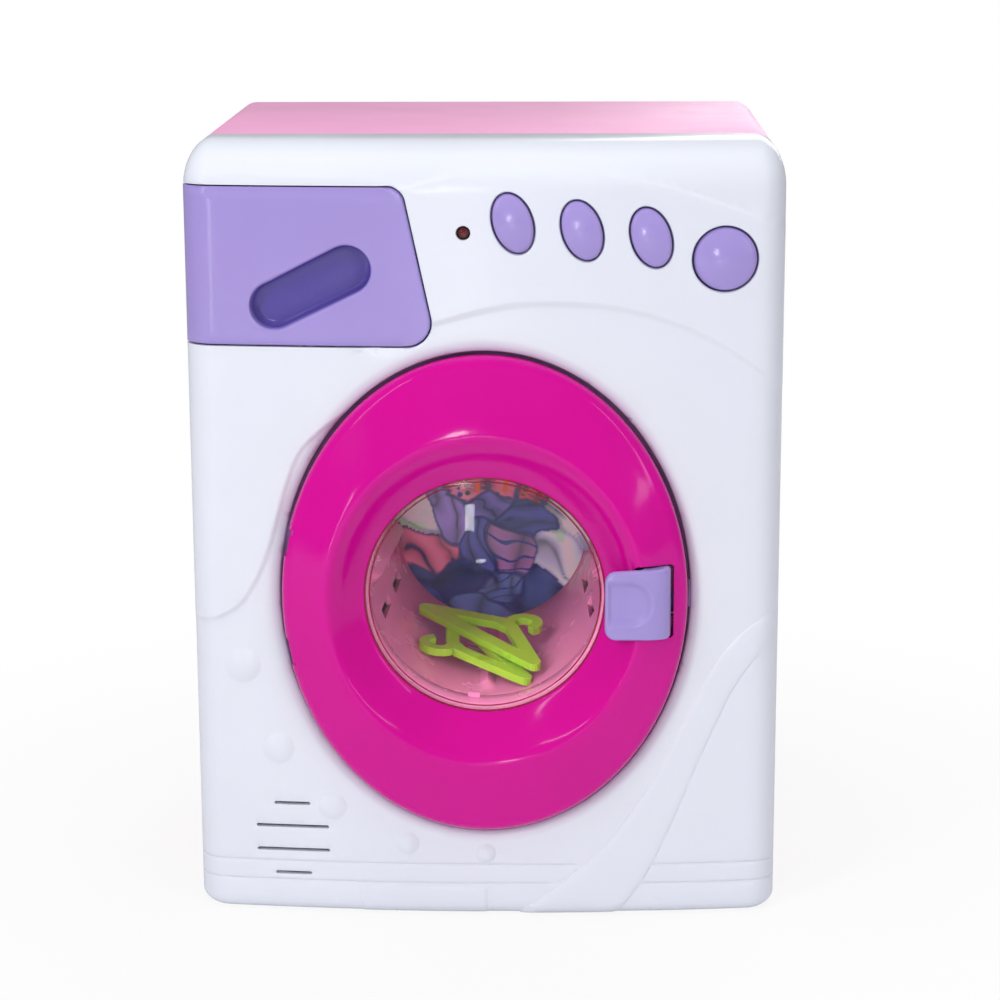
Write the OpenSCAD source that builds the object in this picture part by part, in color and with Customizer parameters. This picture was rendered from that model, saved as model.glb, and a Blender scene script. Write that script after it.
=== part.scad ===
// Toy washing machine: a two-shell case with a swing door, a soap drawer, four push buttons,
// a battery-driven drum and the drive behind it.
// Modelled with x to the right, y to the back and z up; y = 0 is the middle of the front face.
// placed() then moves everything so that the origin is the middle of the footprint.

/* [Case] */
// Width of the case beside the door well, on each side
side_w = 29; // [26:0.5:36]
// Height of the case above the door well
panel_h = 65.5; // [62:0.5:74]
// Room between the motor's terminals and the back wall
rear_room = 3.8; // [3.4:0.1:12]
// How far the front face bows out in the middle
front_bow = 6.2; // [4:0.1:7]
// Wall of the two shells
wall = 2.4; // [1.8:0.1:2.8]
// Place of the seam between the shells, behind the front face
seam_y = 30; // [26:1:36]
// Radius of the upright edges, seen from above
plan_r = 9; // [7:0.5:10]
// Radius of the two top corners, seen from the front
top_corner_r = 13; // [10:0.5:15]
// Radius of the top front edge, seen from the side
brow_r = 15; // [12:0.5:16]
// Radius of the small bottom and back edges
small_r = 5; // [4:0.5:6]
// Height of the case's brow above the drawer
brow_h = 14; // [13:0.5:18]
// Step of the raised panels and of the ribbon on the front face
relief = 0.8; // [0.4:0.1:1.2]

/* [Door] */
// Height of the drum and door centre
door_z = 109; // [106:1:112]
// Half of the door's width
door_a = 65; // [62:0.5:67]
// Half of the door's height
door_b = 78.5; // [74:0.5:80]
// Gap between the door and the case
door_gap = 1.0; // [0.9:0.1:1.4]
// Depth of the well floor behind the front face
well_y = 8.5; // [8:0.25:10]
// Radius of the window's clear area
window_r = 38.8; // [37.5:0.1:40]
// Rise of the window's dome
window_rise = 5; // [3:0.5:6]
// Thickness of the window
window_t = 1.6; // [1.2:0.1:1.8]
// Radius of the steel pins
pin_r = 1.0; // [0.8:0.05:1.2]
// Radial clearance of a pin or shaft in its bore
fit = 0.05; // [0.03:0.01:0.08]

/* [Drum] */
// Inner radius of the mouth ring
mouth_r = 37.5; // [36:0.25:38]
// Inner radius of the drum at its back
drum_back_r = 33.6; // [32:0.1:35]
// Wall of the drum
drum_t = 1.8; // [1.4:0.1:2.2]
// Front rim of the drum behind the front face
drum_y = 16.6; // [16.4:0.1:18]
// Inner depth of the drum
drum_depth = 79.4; // [74:0.5:80]
// Height of the lifting ribs
rib_h = 3; // [2:0.25:3.5]

/* [Drive] */
// Gear module
gear_m = 0.8; // [0.75:0.01:0.8]
// Teeth of the drum gear
drum_teeth = 60; // [56:1:60]
// Teeth of the idler's small gear
small_teeth = 12; // [12:1:14]
// Teeth of the idler's large gear
large_teeth = 40; // [36:1:40]
// Teeth of the motor pinion
pinion_teeth = 10; // [10:1:12]
// Radius of the drum shaft
shaft_r = 2.5; // [2:0.1:3]

/* [Controls] */
// Travel of a push button
button_travel = 1.5; // [1:0.1:1.8]
// Gap round each button
button_gap = 0.6; // [0.4:0.1:0.8]
// Gap round the drawer front
drawer_gap = 0.5; // [0.4:0.05:0.8]
// Length of the drawer tray
tray_l = 76; // [66:1:84]
// Radius of the loudspeaker
speaker_r = 14.5; // [13:0.25:15]

/* [Battery box] */
// Radius of a cell
cell_r = 7.25; // [7:0.05:7.25]
// Length of a cell
cell_l = 50.5; // [49:0.5:51]
// Distance between cell centres
cell_pitch = 16; // [15.5:0.1:16]

/* [Hidden] */
$fn = 96;

// ---- Shared places, worked out from the sizes above ----
clear = 0.4;                    // running clearance of flat faces
bite = 0.8;                     // how far a boss is let into the wall that carries it
latch_out = 11;                 // how far the latch stands in front of the front face
well_a = door_a + door_gap;
well_b = door_b + door_gap;
half_w = well_a + side_w;
case_w = 2 * half_w;
well_top = door_z + well_b;
case_h = well_top + panel_h;

// Drive, from the drum's back to the motor's terminals
drum_end = drum_y + drum_depth + drum_t;
plate_t = 2;
plate_gap = 3.4;                // running gap between the drum and the front plate
gear_gap = 1.6;
gear_w = 5;
gear_step = 1.2;                // gap between the two gear planes
large_w = 4;
rear_gap = 2.4;
front_plate_y = drum_end + plate_gap;
gear_y = front_plate_y + plate_t + gear_gap;
large_y = gear_y + gear_w + gear_step;
rear_plate_y = large_y + large_w + rear_gap;
rear_plate_end = rear_plate_y + plate_t;
motor_l = 22;
endcap_t = 2.4;
terminal_l = 2;
motor_end = rear_plate_end + motor_l + endcap_t + terminal_l;
case_d = motor_end + rear_room + wall;

bow_r = (half_w * half_w + front_bow * front_bow) / (2 * front_bow);
back_in = case_d - wall;        // inner face of the back wall
// Screws: shank radius, head radius and head height
screw_r = 1.25;
head_r = 2.6;
head_h = 1.8;

// Posts that join the shells, as [x, z]
posts = [
    [-half_w + 13, 12], [half_w - 13, 12], [-half_w + 11, door_z + 23], [half_w - 11, door_z + 23],
    [-half_w + 13, case_h - 9.6], [half_w - 13, case_h - 11],
];
post_r = 4.4;
post_end = 4;                   // thickness under each case screw's head
thread_l = 16;                  // length of each case screw's thread in the front shell

// Depth of the front face behind its middle at x
function face_y(x) = bow_r - sqrt(bow_r * bow_r - x * x);
function oval_points(a, b, n = 72) = [for (i = [0 : n - 1]) [a * cos(360 * i / n), b * sin(360 * i / n)]];

// ---- Helpers ----
// Moves the whole part so that its origin is the middle of its footprint
module placed() translate([0, -(case_d - latch_out) / 2, 0]) children();

// Turns an upright child so that its axis runs to the back from [x, y, z]
module facing_back(x, y, z) translate([x, y, z]) rotate([-90, 0, 0]) children();

// Extrudes an outline drawn in x and z between two depths
module front_slab(y0, y1) translate([0, y1, 0]) rotate([90, 0, 0]) linear_extrude(y1 - y0) children();

// A block between two corners
module block(a, b) translate(a) cube(b - a);

module oval(a, b) translate([0, door_z]) polygon(oval_points(a, b));

// Rounded rectangle between two corners, with one radius
module rounded(x0, y0, x1, y1, r) {
    translate([x0 + r, y0]) square([x1 - x0 - 2 * r, y1 - y0]);
    translate([x0, y0 + r]) square([x1 - x0, y1 - y0 - 2 * r]);
    for (x = [x0 + r, x1 - r], y = [y0 + r, y1 - r]) translate([x, y]) circle(r);
}

// A screw whose head's underside is at [x, y, z], with its shank towards the front
module screw(x, y, z, length, r = screw_r, head = head_r, height = head_h) {
    facing_back(x, y - length, z) cylinder(r = r, h = length + height / 2);
    difference() {
        facing_back(x, y, z) cylinder(r = head, h = height);
        for (a = [0, 90])
            translate([x, y + height, z]) rotate([0, a, 0])
                cube([head * 1.2, height, head * 0.3], center = true);
    }
}

// ---- Outer form of the case, drawn in by an inset ----
// Points along an arc, from its first angle to its last
function arc(cx, cy, r, from, to, n) = [for (i = [0 : n]) let (a = from + (to - from) * i / n)
    [cx + r * cos(a), cy + r * sin(a)]];

bow_steps = 12;
corner_steps = 6;
brow_steps = 10;

// Seen from above: the bowed front, two upright edges, the back
module plan_outline(inset) {
    w = half_w - inset;
    d = case_d - inset;
    r = plan_r - inset;
    big_r = bow_r - inset;
    cx = w - r;
    cy = bow_r - sqrt((big_r - r) * (big_r - r) - cx * cx);
    spread = asin(cx / (big_r - r));
    polygon(concat(
        arc(0, bow_r, big_r, 270 - spread, 270 + spread, bow_steps),
        arc(cx, cy, r, 270 + 2 * spread, 360, corner_steps),
        arc(cx, d - r, r, 0, 90, corner_steps),
        arc(-cx, d - r, r, 90, 180, corner_steps),
        arc(-cx, cy, r, 180, 270 - 2 * spread, corner_steps)));
}

// Rounded outline of width a to b and height inset to case_h - inset, with its own radius at each corner
module upright_outline(a, b, inset, low_a, low_b, top_b, top_a, steps) {
    h = case_h - inset;
    polygon(concat(
        arc(a + low_a, inset + low_a, low_a, 180, 270, corner_steps),
        arc(b - low_b, inset + low_b, low_b, 270, 360, corner_steps),
        arc(b - top_b, h - top_b, top_b, 0, 90, corner_steps),
        arc(a + top_a, h - top_a, top_a, 90, 180, steps)));
}

module case_form(inset) {
    low = small_r - inset / 2;
    top = top_corner_r - inset;
    intersection() {
        translate([0, 0, -small_r]) linear_extrude(case_h + 2 * small_r) plan_outline(inset);
        front_slab(-2 * small_r, case_d + small_r)
            upright_outline(inset - half_w, half_w - inset, inset, low, low, top, top, corner_steps);
        translate([-case_w, 0, 0]) rotate([90, 0, 90]) linear_extrude(2 * case_w)
            upright_outline(inset, case_d - inset, inset, low, low, low, brow_r - inset, brow_steps);
    }
}

// ---- Outlines on the front face, in x and z ----
past = 2;                       // how far an outline runs past the case, to be cut off there
panel_top = [[-half_w - past, case_h - 16], [-28, case_h - 13.6], [-8, case_h - 9.2], [12, case_h - 8],
    [31, case_h - 8.6], [59, case_h - 13.6], [79, case_h - 20.1], [half_w + past, case_h - 27]];
panel_low = [[half_w + past, well_top - 13], [82, well_top - 2.3], [69, well_top + 5.6], [53, well_top + 11.7],
    [37, well_top + 14.5], [18, well_top + 16.5], [5, well_top + 15.3], [-16, well_top + 9.7]];
ribbon_upper = [[half_w + past, 101.3], [88.6, 100.7], [81.9, 95], [76.5, 88.8], [66.5, 70.6], [54.4, 46.5],
    [46, 33.6], [36.7, 22.1], [25.6, 12.7], [10.5, -1]];
ribbon_lower = [[40.5, -1], [46.3, 5.1], [52, 13], [58, 25.4], [64, 39.8], [75.5, 66.8], [86.8, 86.4],
    [half_w + past, 95]];

// Bubbles on the front face, as [x, z, radius]
bubbles = [[16 - half_w, 84.3, 6], [27.3 - half_w, 56.4, 5.2], [-50.3, 37, 4.7],
    [-25.7, 24.9, 3.9], [0, 21.7, 3.3]];
bubble_h = 1.2;

// Push buttons, as [x, z, half width, half height, tilt]; each sits in a hole with the button gap round it
first_button = [9.4, case_h - 25];
large_button = [half_w - 19.3, case_h - 36.7];
oval_button = [6, 9.5];
round_button = 9.9;
button_tilt = 18;
button_pitch = (large_button[0] - first_button[0] - 1.7) / 3;
button_drop = 2.35;             // how much lower each button sits than the one before
buttons = concat([for (i = [0 : 2]) [first_button[0] + i * button_pitch, first_button[1] - i * button_drop,
    oval_button[0], oval_button[1], button_tilt]],
    [[large_button[0], large_button[1], round_button, round_button, 0]]);
led_x = -6.1;
led_z = case_h - 28;
led_r = 2;

// Loudspeaker, and the slots in front of it, as [left x, right x, z]
speaker_x = 31.5 - half_w;
speaker_z = 25.6;
slots = [for (s = [[-6, 5.8, 12], [-12.1, 11.9, 4.1], [-12, 12.1, -4], [-6, 6, -12.1]])
    [speaker_x + s[0], speaker_x + s[1], speaker_z + s[2]]];
slot_h = 1.1;

// Drawer front: its bottom, its top, its two slanted right corners as [x, z, radius]
drawer_low = well_top + 1.5;
drawer_top = case_h - brow_h;
drawer_high_corner = [-29.7, drawer_top - 5.2, 5.2];
drawer_low_corner = [-24.3, drawer_low + 7.7, 7.7];
drawer_wrap = 12.5;             // depth of the drawer front where it goes round the left corner
// the two round ends of the handle recess
handle = [[-66, drawer_low + 12.5, 7.6], [-43, drawer_low + 24, 7.8]];

module drawer_outline(gap) {
    for (c = [drawer_high_corner, drawer_low_corner]) translate([c[0], c[1]]) circle(c[2] + gap);
    polygon([
        [-half_w - small_r, drawer_low - gap], [drawer_low_corner[0], drawer_low - gap],
        corner_side(drawer_low_corner, gap), corner_side(drawer_high_corner, gap),
        [drawer_high_corner[0], drawer_high_corner[1] + drawer_high_corner[2] + gap],
        [-half_w - small_r, drawer_top + gap],
    ]);
}
// The point where the slanted right side leaves a corner's arc
slant = atan2(drawer_high_corner[0] - drawer_low_corner[0], drawer_high_corner[1] - drawer_low_corner[1]);
function corner_side(c, gap) = [c[0] + (c[2] + gap) * cos(-slant), c[1] + (c[2] + gap) * sin(-slant)];

module handle_outline() {
    for (c = handle) translate([c[0], c[1]]) circle(c[2]);
    tilt = atan2(handle[1][1] - handle[0][1], handle[1][0] - handle[0][0]);
    polygon([for (e = [0, 1], s = e == 0 ? [1, -1] : [-1, 1])
        [handle[e][0] - s * handle[e][2] * sin(tilt), handle[e][1] + s * handle[e][2] * cos(tilt)]]);
}

module button_outline(b, gap) translate([b[0], b[1]]) rotate(b[4])
    polygon(oval_points(b[2] + gap, b[3] + gap, 48));

// ---- Places shared by the shells and what they carry ----
well_t = 2;                     // wall of the door well
dish_w = 4;                     // width of the dished rim round the door
dish_h = 0.9;
hinge_x = -door_a + 7;
hinge_ears = [door_z + 18, door_z - 18];
knuckle_r = 2.6;
knuckle_l = 8;
ear_l = 4;                      // length of pin held in the door above and below each knuckle
mouth_t = 2;
flange_r = mouth_r + 6.5;
housing_t = 1.6;
tray_x = [6.5 - half_w, drawer_high_corner[0] + 2.2];
tray_z = [drawer_low + 3.5, drawer_top - 5];
tray_y = 10;
housing_y = 16;
housing_x = [tray_x[0] - clear, tray_x[1] + clear];
housing_z = [tray_z[0] - clear, tray_z[1] + clear];
housing_l = tray_l - 6;
housing_bosses = [[-66, drawer_top + 5], [-36, drawer_top + 5], [17 - half_w, drawer_low - 5.5],
    [-42, drawer_low - 5.5]];
board_y = 18.4;
board_t = 1.6;
board_x = [led_x - 6.9, half_w - 8];
board_z = [case_h - 48, case_h - 16];
board_bosses = [[board_x[0] + 4, board_z[0] + 3.6], [board_x[1] - 26, board_z[0] + 3.4],
    [board_x[0] + 4, board_z[1] - 3.4], [board_x[1] - 20, board_z[1] - 3.4]];
boss_r = 3.4;
pilot_l = 8;                    // depth of the small screws' pilot holes
small_screw_r = 1;
small_head_r = 2;
small_head_h = 1.4;
speaker_y = face_y(abs(speaker_x) + speaker_r) + wall + 0.3;
speaker_depth = 7;
clamp_bosses = [[speaker_x, speaker_z + speaker_r + 5], [speaker_x + 13.8, speaker_z - speaker_r + 0.4]];
latch_x = door_a - 9;
latch_y = -2.8;
latch_hole = [[latch_x - 1.5, door_z - 7], [well_a + 1, door_z + 7]];

// Drive: gear centres, and the depths of the plates and gears
idler_gap = gear_m * (drum_teeth + small_teeth) / 2;
motor_gap = gear_m * (large_teeth + pinion_teeth) / 2;
idler_angle = -60;
motor_angle = -20;
idler_at = [idler_gap * cos(idler_angle), door_z + idler_gap * sin(idler_angle)];
motor_at = [idler_at[0] + motor_gap * cos(motor_angle), idler_at[1] + motor_gap * sin(motor_angle)];
plate_x = [-34, 55];
plate_z = [door_z - 47, door_z + 31];
drive_posts = [[-28, door_z + 25], [49, door_z + 25], [-28, door_z - 36], [49.5, door_z - 12]];
motor_half_w = 10;
motor_half_h = 7.5;

// Battery box on the back wall
cells_n = 3;
tray_t = 1.6;
cell_room = 0.5;                // room round each cell
contact_room = 3.8;             // room for the contacts at each end
box_x = cell_l / 2 + contact_room;
box_low = 11.5;
box_high = box_low + (cells_n - 1) * cell_pitch + 2 * (cell_r + cell_room);
box_y = back_in - 2 * (cell_r + cell_room);
cover_rim = 1.8;                // how far the cover reaches past the box
cover_gap = 0.5;
cover_boss = [0, box_high + tray_t + 3.4];
cover_boss_r = 4;
function cell_z(i) = box_low + cell_r + cell_room + i * cell_pitch;
cell_y = back_in - cell_r - cell_room;

// ---- Case ----
module front_shell() color("#e4e6f0") placed() {
    difference() {
        union() {
            difference() {
                intersection() {
                    union() {
                        case_form(0);
                        raised_front();
                    }
                    block([-case_w, -front_bow, -1], [case_w, seam_y, case_h + 1]);
                }
                case_form(wall);
            }
            intersection() {
                case_form(wall - bite);
                front_carriers();
            }
        }
        front_openings();
    }
    catch_rib();
}

// The control panel, the ribbon and the bubbles, a little prouder than the face
module raised_front() {
    intersection() {
        case_form(-relief);
        front_slab(-2 * front_bow, brow_r) {
            polygon(concat(panel_top, panel_low));
            polygon(concat(ribbon_upper, ribbon_lower));
        }
        front_slab(-2 * front_bow, brow_r) upright_outline(-half_w, half_w, 0, small_r, small_r,
            top_corner_r, top_corner_r, corner_steps);
    }
    for (b = bubbles) {
        r = (b[2] * b[2] + bubble_h * bubble_h) / (2 * bubble_h);
        translate([b[0], face_y(b[0]) + r - bubble_h, b[1]]) sphere(r);
    }
}

// Everything that stands on the inner face of the front shell
module front_carriers() {
    front_slab(0, well_y + well_t) oval(well_a + well_t, well_b + well_t);
    for (p = posts) facing_back(p[0], 0, p[1]) cylinder(r = post_r, h = seam_y);
    for (b = board_bosses) facing_back(b[0], 0, b[1]) cylinder(r = boss_r, h = board_y);
    for (b = housing_bosses) facing_back(b[0], 0, b[1]) cylinder(r = boss_r, h = housing_y);
    for (b = clamp_bosses) facing_back(b[0], 0, b[1]) cylinder(r = boss_r, h = speaker_y + speaker_depth);
    difference() {
        facing_back(speaker_x, 0, speaker_z) cylinder(r = speaker_r + 2, h = speaker_y + 3);
        facing_back(speaker_x, speaker_y, speaker_z) cylinder(r = speaker_r + clear / 2, h = speaker_depth);
        facing_back(speaker_x, -1, speaker_z) cylinder(r = speaker_r - 1.6, h = speaker_depth + 1);
    }
}

module front_openings() {
    // door well, its dished rim and the mouth, with room for the latch's claw
    difference() {
        front_slab(-2 * front_bow, well_y) oval(well_a, well_b);
        hinge_brackets();
    }
    difference() {
        front_slab(-2 * front_bow, well_y - wall) oval(well_a + dish_w, well_b + dish_w);
        case_form(dish_h);
        hinge_brackets();
    }
    facing_back(0, 0, door_z) cylinder(r = mouth_r + mouth_t + fit, h = well_y + 2 * well_t);
    block([latch_hole[0][0], well_y - 1, latch_hole[0][1]],
        [latch_hole[1][0], well_y + 2 * well_t, latch_hole[1][1]]);
    for (z = hinge_ears)
        translate([hinge_x, 0, z]) cylinder(r = pin_r + fit, h = 3 * knuckle_l, center = true);
    // controls
    front_slab(-2 * front_bow, drawer_wrap + drawer_gap) drawer_outline(drawer_gap);
    front_slab(-2 * front_bow, board_y - 1) for (b = buttons) button_outline(b, button_gap);
    facing_back(led_x, -2 * front_bow, led_z) cylinder(r = led_r, h = board_y);
    for (s = slots)
        block([s[0], -2 * front_bow, s[2] - slot_h / 2], [s[1], speaker_y + 1, s[2] + slot_h / 2]);
    // pilot holes
    for (p = posts)
        facing_back(p[0], seam_y - thread_l - 1, p[1]) cylinder(r = screw_r + fit, h = thread_l + 2);
    for (b = board_bosses) pilot(b, board_y);
    for (b = housing_bosses) pilot(b, housing_y);
    for (b = clamp_bosses) pilot(b, speaker_y + speaker_depth);
}

module pilot(at, y)
    facing_back(at[0], y - pilot_l, at[1]) cylinder(r = small_screw_r + fit, h = pilot_l + 1);

// The two hinge brackets that stand on the floor of the door well
module hinge_brackets() for (z = hinge_ears) {
    translate([hinge_x, 0, z]) cylinder(r = knuckle_r, h = knuckle_l, center = true);
    block([hinge_x - 2, 0, z - knuckle_l / 2], [hinge_x + 2, well_y + 1, z + knuckle_l / 2]);
}

// The small rib beside the latch's claw
module catch_rib() block([well_a - 0.7, 4.6, door_z - 5], [well_a + 0.5, 6, door_z + 5]);

module rear_shell() color("#eaadd1") placed() difference() {
    union() {
        difference() {
            intersection() {
                case_form(0);
                block([-case_w, seam_y, -1], [case_w, case_d + 1, case_h + 1]);
            }
            case_form(wall);
        }
        intersection() {
            case_form(wall - bite);
            union() {
                for (p = posts) facing_back(p[0], seam_y, p[1]) cylinder(r = post_r + 0.6, h = case_d);
                for (p = drive_posts) facing_back(p[0], rear_plate_end, p[1]) cylinder(r = 4, h = case_d);
            }
        }
    }
    for (p = posts) {
        facing_back(p[0], seam_y - 1, p[1]) cylinder(r = screw_r + 2 * fit, h = case_d);
        facing_back(p[0], seam_y + post_end, p[1]) cylinder(r = head_r + clear, h = case_d);
    }
    for (p = drive_posts) facing_back(p[0], rear_plate_end - 1, p[1]) cylinder(r = screw_r + fit, h = 13);
    front_slab(back_in - 1, case_d + 1) cover_outline(cover_gap);
}

module shell_screws() color("#9a9ca2") placed()
    for (p = posts) screw(p[0], seam_y + post_end, p[1], thread_l + post_end);

// The pink ring that lines the mouth of the drum
module mouth_ring() color("#e79ac6") placed() {
    facing_back(0, 0, door_z) rotate_extrude() {
        translate([mouth_r, well_y - 2]) square([mouth_t, drum_y - well_y + 2 - 1]);
        translate([mouth_r, well_y - 2]) square([flange_r - mouth_r, 2]);
    }
    block([-6, drum_y - 4, door_z - mouth_r - 1], [-2, drum_y - 1.2, door_z - mouth_r + 1.6]);
}

// ---- Door ----
crease_a = 50.2;                // half axes of the crease where the door's front turns in to the window
crease_b = 53.5;
crease_out = 9;                 // how far the crease stands in front of the front face
door_split = 1.4;               // depth at which the door's front and its back plate meet
back_t = 2;
window_flange = 4;
window_flange_t = 1.2;
shell_t = 2;                    // wall of the door's front

// Sections of the door's front, as [half width, half height, depth], round its hollow wall
door_sections = [
    [door_a, door_b, door_split],
    [door_a, door_b, -0.5],
    [door_a - 0.7, door_b - 0.7, -2.3],
    [door_a - 2.5, door_b - 2.5, -3.8],
    [(door_a + crease_a) / 2 - 0.6, (door_b + crease_b) / 2, 2.4 - crease_out],
    [crease_a + 1.8, crease_b + 2, 0.3 - crease_out],
    [crease_a, crease_b, -crease_out],
    [crease_a - 1.5, crease_b - 1.8, 0.5 - crease_out],
    [window_r, window_r, door_split],
    [window_r + shell_t + 0.5, window_r + shell_t + 0.5, door_split],
    [crease_a - 0.7, crease_b - 1, 2.6 - crease_out],
    [(door_a + crease_a) / 2 - 1.6, (door_b + crease_b) / 2 - 1.5, 4.6 - crease_out],
    [door_a - shell_t - 1.5, door_b - shell_t - 1.5, -1.9],
    [door_a - shell_t, door_b - shell_t, door_split],
];

// A closed ring that runs through oval sections and back to the first
module oval_ring(sections, n = 72) {
    m = len(sections);
    polyhedron(
        points = [for (s = sections, i = [0 : n - 1])
            [s[0] * cos(360 * i / n), s[2], door_z + s[1] * sin(360 * i / n)]],
        faces = [for (j = [0 : m - 1], i = [0 : n - 1], half = [0, 1])
            let (k = (i + 1) % n, next = (j + 1) % m,
                a = j * n + i, b = j * n + k, c = next * n + k, d = next * n + i)
            half == 0 ? [a, b, c] : [a, c, d]]);
}

door_screw_in = [8.5, 11.5];    // how far the door's screws lie in from its edge, sideways and up
door_screw_at = [for (a = [45, 90, 135, 225, 270, 315])
    [(door_a - door_screw_in[0]) * cos(a), door_z + (door_b - door_screw_in[1]) * sin(a)]];
latch_half = 11.7;              // half height of the latch
notch_x = [latch_x - 8.2, latch_x + 4.4];       // left and right end of the notch that the latch lies in
cheek_l = 4.5;                  // length of the cheeks that hold the latch's pin
cheek_mid = latch_half + clear + cheek_l / 2;
frame_t = 2;

module hinge_pockets() for (z = hinge_ears)
    block([-door_a - 1, -knuckle_r - 0.6, z - knuckle_l / 2 - 0.25],
        [hinge_x + 3.8, door_split + back_t + 1, z + knuckle_l / 2 + 0.25]);

module hinge_bores() for (z = hinge_ears)
    translate([hinge_x, 0, z]) cylinder(r = pin_r + fit, h = knuckle_l + 2 * ear_l, center = true);

// Where the frame's hinge ears and latch cheeks stand, grown by a gap
module hinge_ears_blocks(gap) for (z = hinge_ears)
    block([hinge_x - 2.2 - gap, -2.2 - gap, z - knuckle_l / 2 - ear_l - 0.5 - gap],
        [hinge_x + 3 + gap, door_split, z + knuckle_l / 2 + ear_l + 0.5 + gap]);

module latch_cheeks(gap) for (s = [-1, 1])
    block([latch_x - 2.6 - gap, latch_y - 1.6 - gap, door_z + s * cheek_mid - cheek_l / 2 - gap],
        [latch_x + 2.6 + gap, door_split, door_z + s * cheek_mid + cheek_l / 2 + gap]);

module latch_notch(depth) front_slab(-2 * latch_out, depth)
    translate([notch_x[0], door_z - latch_half - clear])
        square([notch_x[1] - notch_x[0], 2 * (latch_half + clear)]);

module door_ring() color("#d6188f") placed() difference() {
    oval_ring(door_sections);
    latch_notch(door_split + 1);
    hinge_pockets();
    hinge_ears_blocks(0.2);
    latch_cheeks(0.2);
}

// The frame inside the door, with the hinge's ears and the cheeks of the latch's pin
module door_frame() color("#b9127e") placed() difference() {
    union() {
        difference() {
            front_slab(door_split - frame_t, door_split) oval(door_a - 3.2, door_b - 3.2);
            facing_back(0, -2 * front_bow, door_z) cylinder(r = window_r + 6, h = 4 * front_bow);
            latch_notch(door_split + 1);
        }
        hinge_ears_blocks(0);
        latch_cheeks(0);
        for (p = door_screw_at) facing_back(p[0], -3.2, p[1]) cylinder(r = 2.4, h = door_split + 3.2);
    }
    hinge_pockets();
    hinge_bores();
    translate([latch_x, latch_y, door_z])
        cylinder(r = pin_r + fit, h = 2 * (latch_half + clear + 4), center = true);
    for (p = door_screw_at)
        facing_back(p[0], -2.6, p[1]) cylinder(r = small_screw_r + fit, h = door_split + 4);
}

module door_back() color("#c9148a") placed() difference() {
    front_slab(door_split, door_split + back_t) oval(door_a - 0.3, door_b - 0.3);
    facing_back(0, 0, door_z) cylinder(r = window_r + 0.6, h = door_split + back_t + 1);
    facing_back(0, 0, door_z)
        cylinder(r = window_r + window_flange + 0.2, h = door_split + window_flange_t);
    hinge_pockets();
    block([latch_x - 5.5, 0, door_z - 6.4], [latch_x + 7, door_split + back_t + 1, door_z + 2.4]);
    for (p = door_screw_at) {
        facing_back(p[0], 0, p[1]) cylinder(r = small_screw_r + 2 * fit, h = door_split + back_t + 1);
        facing_back(p[0], door_split + back_t - small_head_h, p[1])
            cylinder(r = small_head_r + 2 * fit, h = back_t);
    }
}

module door_window() color("#dfe8f2", 0.35) placed() facing_back(0, 0, door_z) {
    base_r = window_r - 0.3;
    r = (base_r * base_r + window_rise * window_rise) / (2 * window_rise);
    top = door_split - window_rise;
    difference() {
        intersection() {
            translate([0, 0, top + r]) sphere(r, $fn = 240);
            translate([0, 0, top - 1]) cylinder(r = base_r, h = window_rise + window_flange_t + 1);
        }
        translate([0, 0, top + r]) sphere(r - window_t, $fn = 240);
    }
    difference() {
        translate([0, 0, door_split]) cylinder(r = window_r + window_flange, h = window_flange_t);
        translate([0, 0, door_split - 1]) cylinder(r = base_r - 1.5, h = window_flange_t + 2);
    }
}

module door_screws() color("#9a9ca2") placed() for (p = door_screw_at)
    screw(p[0], door_split + back_t - small_head_h, p[1], 4.2, small_screw_r, small_head_r, small_head_h);

module hinge_pins() color("#b9bcc2") placed() for (z = hinge_ears)
    translate([hinge_x, 0, z]) cylinder(r = pin_r, h = knuckle_l + 2 * ear_l - 0.4, center = true);

// ---- Latch ----
latch_left = latch_x - 17.6;
latch_corner = 4;
barrel_r = 2.6;                 // round part that turns on the latch's pin
claw_t = 1.6;                   // the arm and the claw behind the door
claw_half = 1.8;
claw_z = [door_z - 6, door_z + 2];
claw_y = door_split + back_t + 0.6;
thumb_r = 7.2;                  // thumb recess: its round end and its depth
thumb_deep = 1.1;
spring_z = door_z + 5.5;        // bottom of the gap for the latch's spring
spring_l = 4;

module latch_lever() color("#a99bd9") placed() difference() {
    union() {
        intersection() {
            translate([0, 0, door_z - latch_half]) linear_extrude(2 * latch_half)
                polygon([[latch_left, -9.4], [latch_left + 1, 0.4 - latch_out], [latch_left + 3, -latch_out],
                    [latch_x - 5, -latch_out], [latch_x, 1.2 - latch_out], [latch_x + 2.2, 2.8 - latch_out],
                    [latch_x + 3.4, 4.8 - latch_out], [latch_x + 3.4, -2.6], [latch_x - 4, -2.6],
                    [latch_x - 5.8, -8.8], [latch_left, -8.8]]);
            front_slab(-latch_out - 1, 0)
                rounded(latch_left, door_z - latch_half, latch_x + 9, door_z + latch_half, latch_corner);
        }
        translate([latch_x, latch_y, door_z]) cylinder(r = barrel_r, h = 2 * latch_half, center = true);
        block([latch_x - claw_half, latch_y, claw_z[0]], [latch_x + claw_half, claw_y + claw_t, claw_z[1]]);
        block([latch_x - claw_half, claw_y, claw_z[0]], [door_a - 0.2, claw_y + claw_t, claw_z[1]]);
    }
    translate([latch_x, latch_y, door_z]) cylinder(r = pin_r + fit, h = 3 * latch_half, center = true);
    block([latch_x - 3.4, latch_y - 3.2, spring_z], [latch_x + 4, 0, spring_z + spring_l + 0.6]);
    // thumb recess
    front_slab(-2 * latch_out, thumb_deep - latch_out) {
        translate([latch_left + 8, door_z + 0.4]) circle(thumb_r);
        translate([latch_left + 1.4, door_z - 6.8]) square([6.6, 14.4]);
    }
}

module latch_pin() color("#b9bcc2") placed() translate([latch_x, latch_y, door_z])
    cylinder(r = pin_r, h = 2 * (latch_half + clear + 3.8), center = true);

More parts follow.
